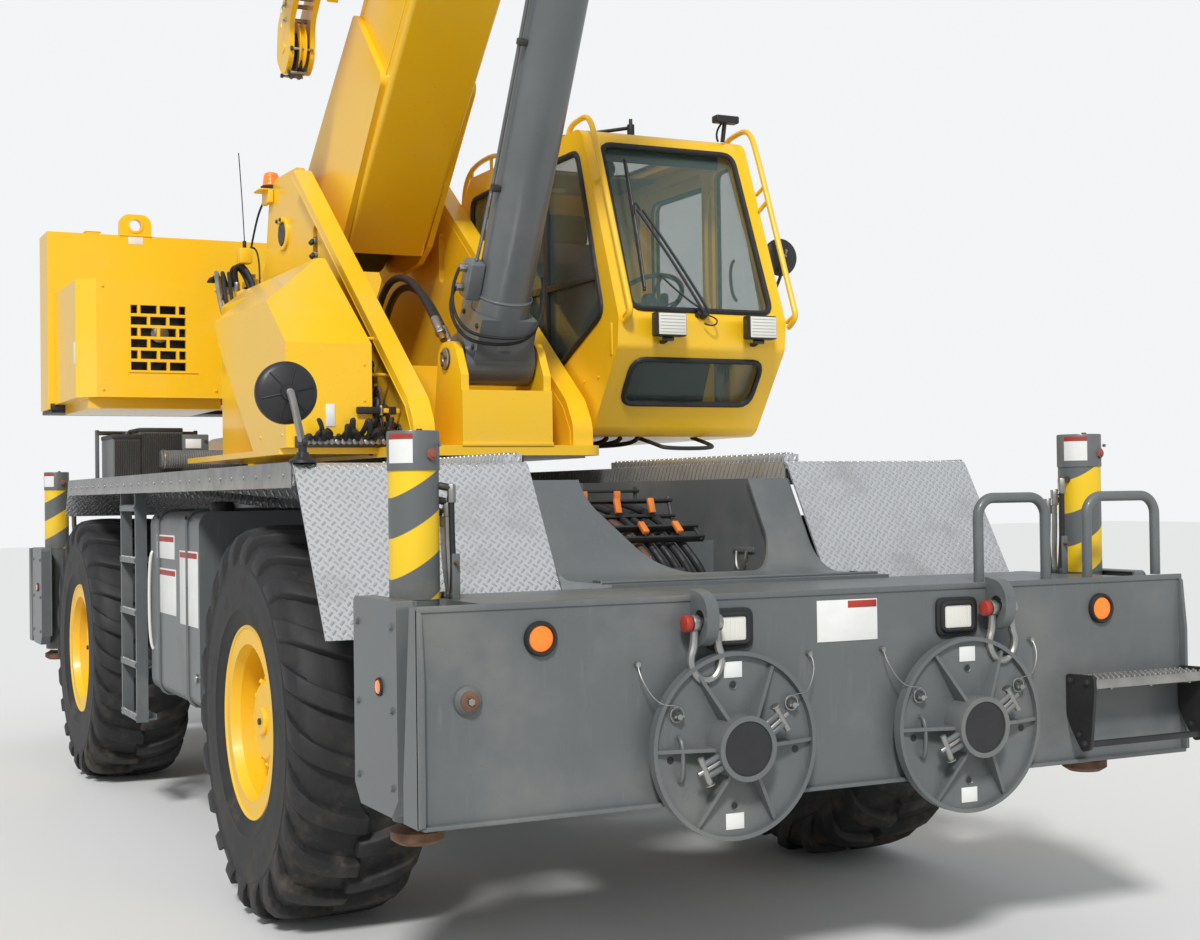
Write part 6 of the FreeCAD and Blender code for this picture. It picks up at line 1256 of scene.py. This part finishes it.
def hoistTrim():
    rope = Piece("hoist_rope", "upper", "bearing_steel")
    for where in (2.160, 2.790):
        turns = 24
        profile = []
        for index in range(turns):
            x = -0.245 + index * 0.0204
            profile += [(0.1805, x), (0.196, x + 0.003), (0.201, x + 0.010), (0.196, x + 0.0175)]
        profile.append((0.1805, 0.2455))
        rope.spin(profile, (0, where, 2.985), (1, 0, 0), "wireRope", 64)
    rope.finish()
    trim = Piece("hoist_trim", "upper", "crane_yellow")
    for where in (2.160, 2.790):
        for way in (-1, 1):
            centre = Vector((way * 0.346, where, 2.985))
            for index in range(12):
                a = index / 12 * math.tau
                spot = centre + Vector((0, math.sin(a), math.cos(a))) * 0.142
                trim.bolt(spot, (way, 0, 0), 0.009, "craneYellow")
            trim.spin([(0.060, 0), (0.058, 0.020), (0.040, 0.030), (0, 0.030)], centre, (way, 0, 0), "craneYellow", 36)
        motor = Vector((-0.500, where, 2.985))
        for index, (a, b) in enumerate(((0.05, 0.055), (-0.05, 0.055))):
            trim.rod(motor + Vector((0, a, b + 0.02)), motor + Vector((0, a, b + 0.085)), 0.021, "bareSteel", 6, 0.003)
            trim.pipe([motor + Vector((0, a, b + 0.08)), motor + Vector((-0.02, a, b + 0.17)), motor + Vector((0.01, a - 0.10, b + 0.20)),
                       motor + Vector((0.06, a - 0.20, b + 0.06)), motor + Vector((0.09, a - 0.26, b - 0.16))], 0.016,
                      "blackRubber", True, 12)
        trim.box((-0.430, where - 0.090, 3.060), (-0.330, where + 0.090, 3.150), "craneYellow", 0.010)
        trim.rod((-0.380, where, 3.145), (-0.380, where, 3.190), 0.020, "bareSteel", 6, 0.003)
        # roller that keeps the rope down on the drum
        trim.rod((-0.240, where - 0.235, 3.070), (0.240, where - 0.235, 3.070), 0.022, "darkSteel", 20, 0.003)
        for way in (-1, 1):
            trim.rod((way * 0.250, where - 0.235, 3.070), (way * 0.250, where - 0.05, 2.985), 0.016, "craneYellow", 12)
    trim.finish()


def ballastTrim():
    trim = Piece("ballast_trim", "upper", "crane_yellow")
    half, front, rear, low, top = 1.530, 3.190, 3.720, 2.340, 3.560
    # painted shade: a black plate under the counterweight and black strips along its lower front edge stand in for the
    # shadow on its underside
    trim.box((-half + 0.02, front + 0.010, low - 0.022), (half - 0.02, rear - 0.10, low + 0.002), "blackPaintAndPaintedShade", 0.006)
    trim.box((-half + 0.012, front - 0.010, low - 0.006), (-0.560, front + 0.004, low + 0.040), "blackPaintAndPaintedShade", 0.003)
    trim.box((0.560, front - 0.010, low - 0.006), (half - 0.012, front + 0.004, low + 0.040), "blackPaintAndPaintedShade", 0.003)
    for sign in (-1, 1):
        trim.box((sign * 0.935 - 0.050, front - 0.0022, 3.500), (sign * 0.935 + 0.050, front, 3.552), "labelWhite", 0.0006)
        trim.spin([(0.052, -0.004), (0.056, 0.0), (0.056, 0.004), (0.042, 0.006), (0.040, -0.004)], (sign * 0.935, front - 0.001, 3.635),
                  (0, -1, 0), "craneYellow", 40)
        trim.pipe([(sign * 0.935 - 0.112, front - 0.002, top + 0.002), (sign * 0.935 + 0.112, front - 0.002, top + 0.002)], 0.006,
                  "craneYellow", False, 8)
        # lamps on the rear face, in guards
        trim.box((sign * 1.250 - 0.075, rear - 0.004, 2.860), (sign * 1.250 + 0.075, rear + 0.020, 2.960), "blackPaintAndPaintedShade", 0.008)
        trim.box((sign * 1.250 - 0.062, rear + 0.012, 2.872), (sign * 1.250 - 0.004, rear + 0.026, 2.948), "redLens", 0.004)
        trim.box((sign * 1.250 + 0.004, rear + 0.012, 2.872), (sign * 1.250 + 0.062, rear + 0.026, 2.948), "amberLens", 0.004)
        for z in (2.640, 2.900, 3.160):
            trim.bolt((sign * 0.500, rear, z), (0, 1, 0), 0.020, "craneYellow")
    trim.plate(rounding([(-1.260, top), (-1.180, top), (-1.160, top + 0.020), (-1.280, top + 0.020)], 0.010), "y", front + 0.02,
               front + 0.20, "craneYellow", 0.004)
    trim.finish()

    cooler = Piece("cooler_core", "upper", "dark_paint")
    # dark core, fan and shroud behind the slots
    cooler.box((-1.330, 2.300, 2.430), (-0.640, 2.380, 3.070), "blackPaintAndPaintedShade", 0.006)
    for index in range(60):
        x = -1.190 + index * 0.0075
        cooler.box((x, 2.292, 2.500), (x + 0.002, 2.301, 3.020), "darkSteel", 0.0)
    cooler.spin([(0.060, 0), (0.058, 0.014), (0.030, 0.026), (0, 0.026)], (-0.965, 2.292, 2.790), (0, -1, 0), "bareSteel", 32)
    cooler.box((-1.4905, 2.330, 2.590), (-1.4880, 2.400, 2.730), "labelWhite", 0.0006)
    for x in (-1.340, -0.620):
        for z in (2.420, 3.080):
            cooler.bolt((x, 2.200, z), (0, -1, 0), 0.009, "craneYellow")
    cooler.pipe([(-1.180, 2.196, 2.532), (-0.735, 2.196, 2.532)], 0.003, "craneYellow", False, 6)
    cooler.finish()


turntableTrim()
valveBank()
looseHoses()
hoistTrim()
ballastTrim()
print("upper works dressed")


# Boom and cylinder trim, drawn along the boom and along the cylinder
def boomTrim():
    trim = Piece("boom_trim", "boom", "crane_yellow", boomPlace)
    half, low, high = 0.245, -0.6125, 0.1635
    # lap seams and weld beads along the base section
    for way in (-1, 1):
        trim.pipe([(way * (half + 0.001), -1.50, low + 0.085), (way * (half + 0.001), -9.15, low + 0.085)], 0.0045, "craneYellow",
                  False, 6)
        trim.pipe([(way * (half + 0.001), -1.50, high - 0.125), (way * (half + 0.001), -9.15, high - 0.125)], 0.0045, "craneYellow",
                  False, 6)
        trim.box((way * half - 0.0015, -1.92, -0.100), (way * half + 0.0015, -1.72, -0.040), "labelWhite", 0.0004)
        for index in range(8):
            a = index / 8 * math.tau
            trim.bolt((way * 0.355, 0.120 * math.sin(a), 0.120 * math.cos(a)), (way, 0, 0), 0.010, "craneYellow")
        for y in (-5.20, -6.00):
            trim.box((way * half - 0.002, y - 0.030, low + 0.10), (way * half + 0.012, y + 0.030, high - 0.14), "craneYellow", 0.004)
        # pad adjusters near the nose
        for y in (-9.02, -8.90):
            for z in (low + 0.16, high - 0.20):
                trim.bolt((way * half, y, z), (way, 0, 0), 0.014, "craneYellow")
    for y in (-9.02, -8.86):
        for x in (-0.10, 0.10):
            trim.bolt((x, y, high), (0, 0, 1), 0.014, "craneYellow")
    # hoist rope over rollers on the boom's back
    for x in (-0.035, 0.035):
        trim.pipe([(x, 0.55, high + 0.120), (x, -1.0, high + 0.070), (x, -9.20, high + 0.070)], 0.010, "wireRope", False, 10)
    for y in (-0.60, -3.40, -6.20, -9.05):
        trim.rod((-0.110, y, high + 0.036), (0.110, y, high + 0.036), 0.024, "darkSteel", 24, 0.004)
        for way in (-1, 1):
            trim.plate([(y - 0.045, high - 0.002), (y + 0.045, high - 0.002), (y + 0.024, high + 0.072), (y - 0.024, high + 0.072)], "x",
                       way * 0.118 - 0.006, way * 0.118 + 0.006, "craneYellow", 0.003)
    # hooks and pins that hold the stowed extension
    for y in (-2.20, -6.80):
        trim.box((-0.405, y - 0.050, -0.010), (-0.240, y + 0.050, 0.020), "craneYellow", 0.006)
        trim.box((-0.405, y - 0.040, 0.015), (-0.385, y + 0.040, 0.070), "craneYellow", 0.005)
        trim.rod((-0.330, y, -0.055), (-0.330, y, 0.055), 0.018, "bareSteel", 20, 0.003)
        trim.pipe([(-0.330, y, 0.052), (-0.330, y - 0.03, 0.085), (-0.330, y - 0.06, 0.052)], 0.006, "bareSteel", True, 8)
    # control cable that runs to the boom's nose
    trim.pipe([(half + 0.020, -0.90, 0.02), (half + 0.020, -1.6, -0.02), (half + 0.020, -8.95, -0.02)], 0.009, "blackRubber", False, 8)
    for index in range(9):
        y = -1.6 - index * 0.9
        trim.box((half - 0.001, y - 0.012, -0.036), (half + 0.032, y + 0.012, -0.004), "darkSteel", 0.003)
    trim.spin([(0.100, -0.040), (0.115, -0.036), (0.115, 0.036), (0.100, 0.040), (0.034, 0.040), (0.030, 0.052), (0, 0.052)],
              (half + 0.085, -1.15, -0.20), (1, 0, 0), "blackPaintAndPaintedShade", 48)
    trim.finish()

    tip = Piece("extension_tip", "boom", "dark_paint", boomPlace)
    # deflector sheave between the tip plates, its axle, guard pins and a chain
    x = -0.620
    tip.spin([(0.030, -0.026), (0.120, -0.026), (0.132, -0.022), (0.112, -0.008), (0.112, 0.008), (0.132, 0.022), (0.120, 0.026),
              (0.030, 0.026)], (x + 0.065, -1.190, 0.085), (1, 0, 0), "darkSteel", 56)
    tip.rod((x + 0.015, -1.190, 0.085), (x + 0.115, -1.190, 0.085), 0.030, "bareSteel", 28, 0.003)
    for a in (0.6, 1.7, 2.9, 4.0):
        spot = Vector((x + 0.008, -1.190 + 0.128 * math.sin(a), 0.085 + 0.128 * math.cos(a)))
        tip.rod(spot, spot + Vector((0.118, 0, 0)), 0.008, "bareSteel", 12, 0.001)
        tip.rod(spot + Vector((-0.012, 0, 0)), spot + Vector((0.002, 0, 0)), 0.013, "darkSteel", 6, 0.001)
    for index, (y, z) in enumerate(((-1.42, 0.230), (-1.50, 0.180), (-1.36, 0.175))):
        tip.rod((x - 0.020, y, z), (x + 0.150, y, z), 0.013, "bareSteel", 16, 0.002)
        tip.pipe([(x - 0.022, y, z), (x - 0.045, y + 0.01, z - 0.02), (x - 0.040, y + 0.03, z - 0.05)], 0.004, "bareSteel", True, 8)
    tip.finish()

    barrel = Piece("cylinder_trim", "lift_barrel", "cylinder_grey", liftPlace)
    # gland nut, wiper ring and weld seams
    barrel.spin([(0.0925, -0.008), (0.104, -0.008), (0.112, 0.002), (0.1120, 0.004)], (0, -3.250, 0), (0, 1, 0), "darkSteel", 48)
    for index in range(10):
        a = index / 10 * math.tau
        barrel.rod((0.124 * math.sin(a), -3.2495, 0.124 * math.cos(a)), (0.124 * math.sin(a), -3.262, 0.124 * math.cos(a)), 0.009,
                   "darkSteel", 6, 0.001)
    for y, reach in ((-0.352, 0.1455), (-3.120, 0.1400)):
        ring = [(reach * math.sin(a), y, reach * math.cos(a)) for a in (step / 40 * math.tau for step in range(40))]
        barrel.pipe(ring, 0.0045, "cylinderGrey", True, 8, True)
    # holding valve with its hoses at the foot, and a pipe along the barrel
    barrel.box((-0.215, -0.520, -0.045), (-0.135, -0.330, 0.055), "cylinderGrey", 0.010, 3)
    for y in (-0.480, -0.380):
        barrel.rod((-0.212, y, 0.010), (-0.252, y, 0.010), 0.021, "bareSteel", 6, 0.003)
        barrel.rod((-0.175, y, 0.050), (-0.175, y, 0.090), 0.017, "brass", 6, 0.003)
    barrel.pipe([(-0.250, -0.380, 0.010), (-0.290, -0.300, 0.00), (-0.240, -0.170, -0.130), (-0.100, -0.150, -0.168), (0.080, -0.165, -0.168),
                 (0.170, -0.260, -0.140), (0.175, -0.400, -0.060)], 0.0085, "blackRubber", True, 10)
    barrel.pipe([(-0.250, -0.480, 0.010), (-0.300, -0.360, -0.02), (-0.250, -0.210, -0.150), (-0.060, -0.190, -0.185), (0.110, -0.205, -0.180),
                 (0.185, -0.330, -0.120), (0.175, -0.470, -0.040)], 0.0085, "blackRubber", True, 10)
    for way in (-1, 1):
        for y in (-0.110, -0.220):
            barrel.bolt((way * 0.150, y, 0.095), (way, 0, 0), 0.011)
            barrel.bolt((way * 0.150, y, -0.095), (way, 0, 0), 0.011)
    barrel.pipe([(-0.175, -0.500, 0.0), (-0.162, -0.620, -0.010), (-0.160, -2.850, -0.030), (-0.120, -3.000, -0.110), (-0.055, -3.050, -0.170)],
                0.0095, "cylinderGrey", True, 10)
    for y in (-0.90, -1.60, -2.30, -2.80):
        barrel.box((-0.176, y - 0.015, -0.045), (-0.128, y + 0.015, -0.010), "darkSteel", 0.004)
    barrel.finish()


boomTrim()
print("boom dressed")


def lampAndCamera():
    lamp = {"sun": 2.6, "fill": 0.62, "sunTurn": (math.radians(48), math.radians(8), math.radians(-38))}
    sun = bpy.data.objects.new("sun", bpy.data.lights.new("sun", "SUN"))
    sun.data.energy = lamp["sun"]
    sun.data.angle = math.radians(9)
    sun.rotation_euler = lamp["sunTurn"]
    bpy.context.scene.collection.objects.link(sun)
    world = bpy.data.worlds.new("studio")
    world.use_nodes = True
    nodes, links = world.node_tree.nodes, world.node_tree.links
    back = nodes["Background"]
    back.inputs["Color"].default_value = (0.90, 0.93, 0.97, 1)
    back.inputs["Strength"].default_value = lamp["fill"]
    white = nodes.new("ShaderNodeBackground")
    white.inputs["Color"].default_value = (0.90, 0.91, 0.92, 1)
    white.inputs["Strength"].default_value = 1.0
    paths = nodes.new("ShaderNodeLightPath")
    seen = nodes.new("ShaderNodeMath")
    seen.operation = "MAXIMUM"
    links.new(paths.outputs["Is Camera Ray"], seen.inputs[0])
    links.new(paths.outputs["Is Transmission Ray"], seen.inputs[1])
    blend = nodes.new("ShaderNodeMixShader")
    links.new(seen.outputs[0], blend.inputs[0])
    links.new(back.outputs[0], blend.inputs[1])
    links.new(white.outputs[0], blend.inputs[2])
    links.new(blend.outputs[0], nodes["World Output"].inputs["Surface"])
    bpy.context.scene.world = world

    bm = bmesh.new()
    bmesh.ops.create_grid(bm, x_segments=1, y_segments=1, size=60)
    mesh = bpy.data.meshes.new("floor")
    bm.to_mesh(mesh)
    bm.free()
    floor = bpy.data.objects.new("floor", mesh)
    bpy.context.scene.collection.objects.link(floor)
    ground = bpy.data.materials.new("floor")
    ground.use_nodes = True
    ground.node_tree.nodes["Principled BSDF"].inputs["Base Color"].default_value = (0.72, 0.72, 0.70, 1)
    ground.node_tree.nodes["Principled BSDF"].inputs["Roughness"].default_value = 0.9
    mesh.materials.append(ground)

    shot = {"place": (-3.296, -8.830, 1.703), "azimuth": 26.391, "pitch": 0.852, "roll": -0.766,
            "focal": 1692.3, "wide": 1200}
    a, e, roll = (math.radians(shot[k]) for k in ("azimuth", "pitch", "roll"))
    ahead = Vector((math.sin(a) * math.cos(e), math.cos(a) * math.cos(e), math.sin(e)))
    right = ahead.cross(Vector((0, 0, 1))).normalized()
    up = right.cross(ahead)
    right, up = right * math.cos(roll) + up * math.sin(roll), up * math.cos(roll) - right * math.sin(roll)
    camera = bpy.data.objects.new("camera", bpy.data.cameras.new("camera"))
    camera.data.sensor_width = 36
    camera.data.lens = shot["focal"] / shot["wide"] * 36
    camera.data.clip_end = 200
    turn = Matrix((right, up, -ahead)).transposed().to_4x4()
    camera.matrix_world = crane @ Matrix.Translation(shot["place"]) @ turn
    bpy.context.scene.collection.objects.link(camera)
    bpy.context.scene.camera = camera


lampAndCamera()
bpy.context.scene.view_settings.view_transform = "Standard"
print("camera and lamps placed")
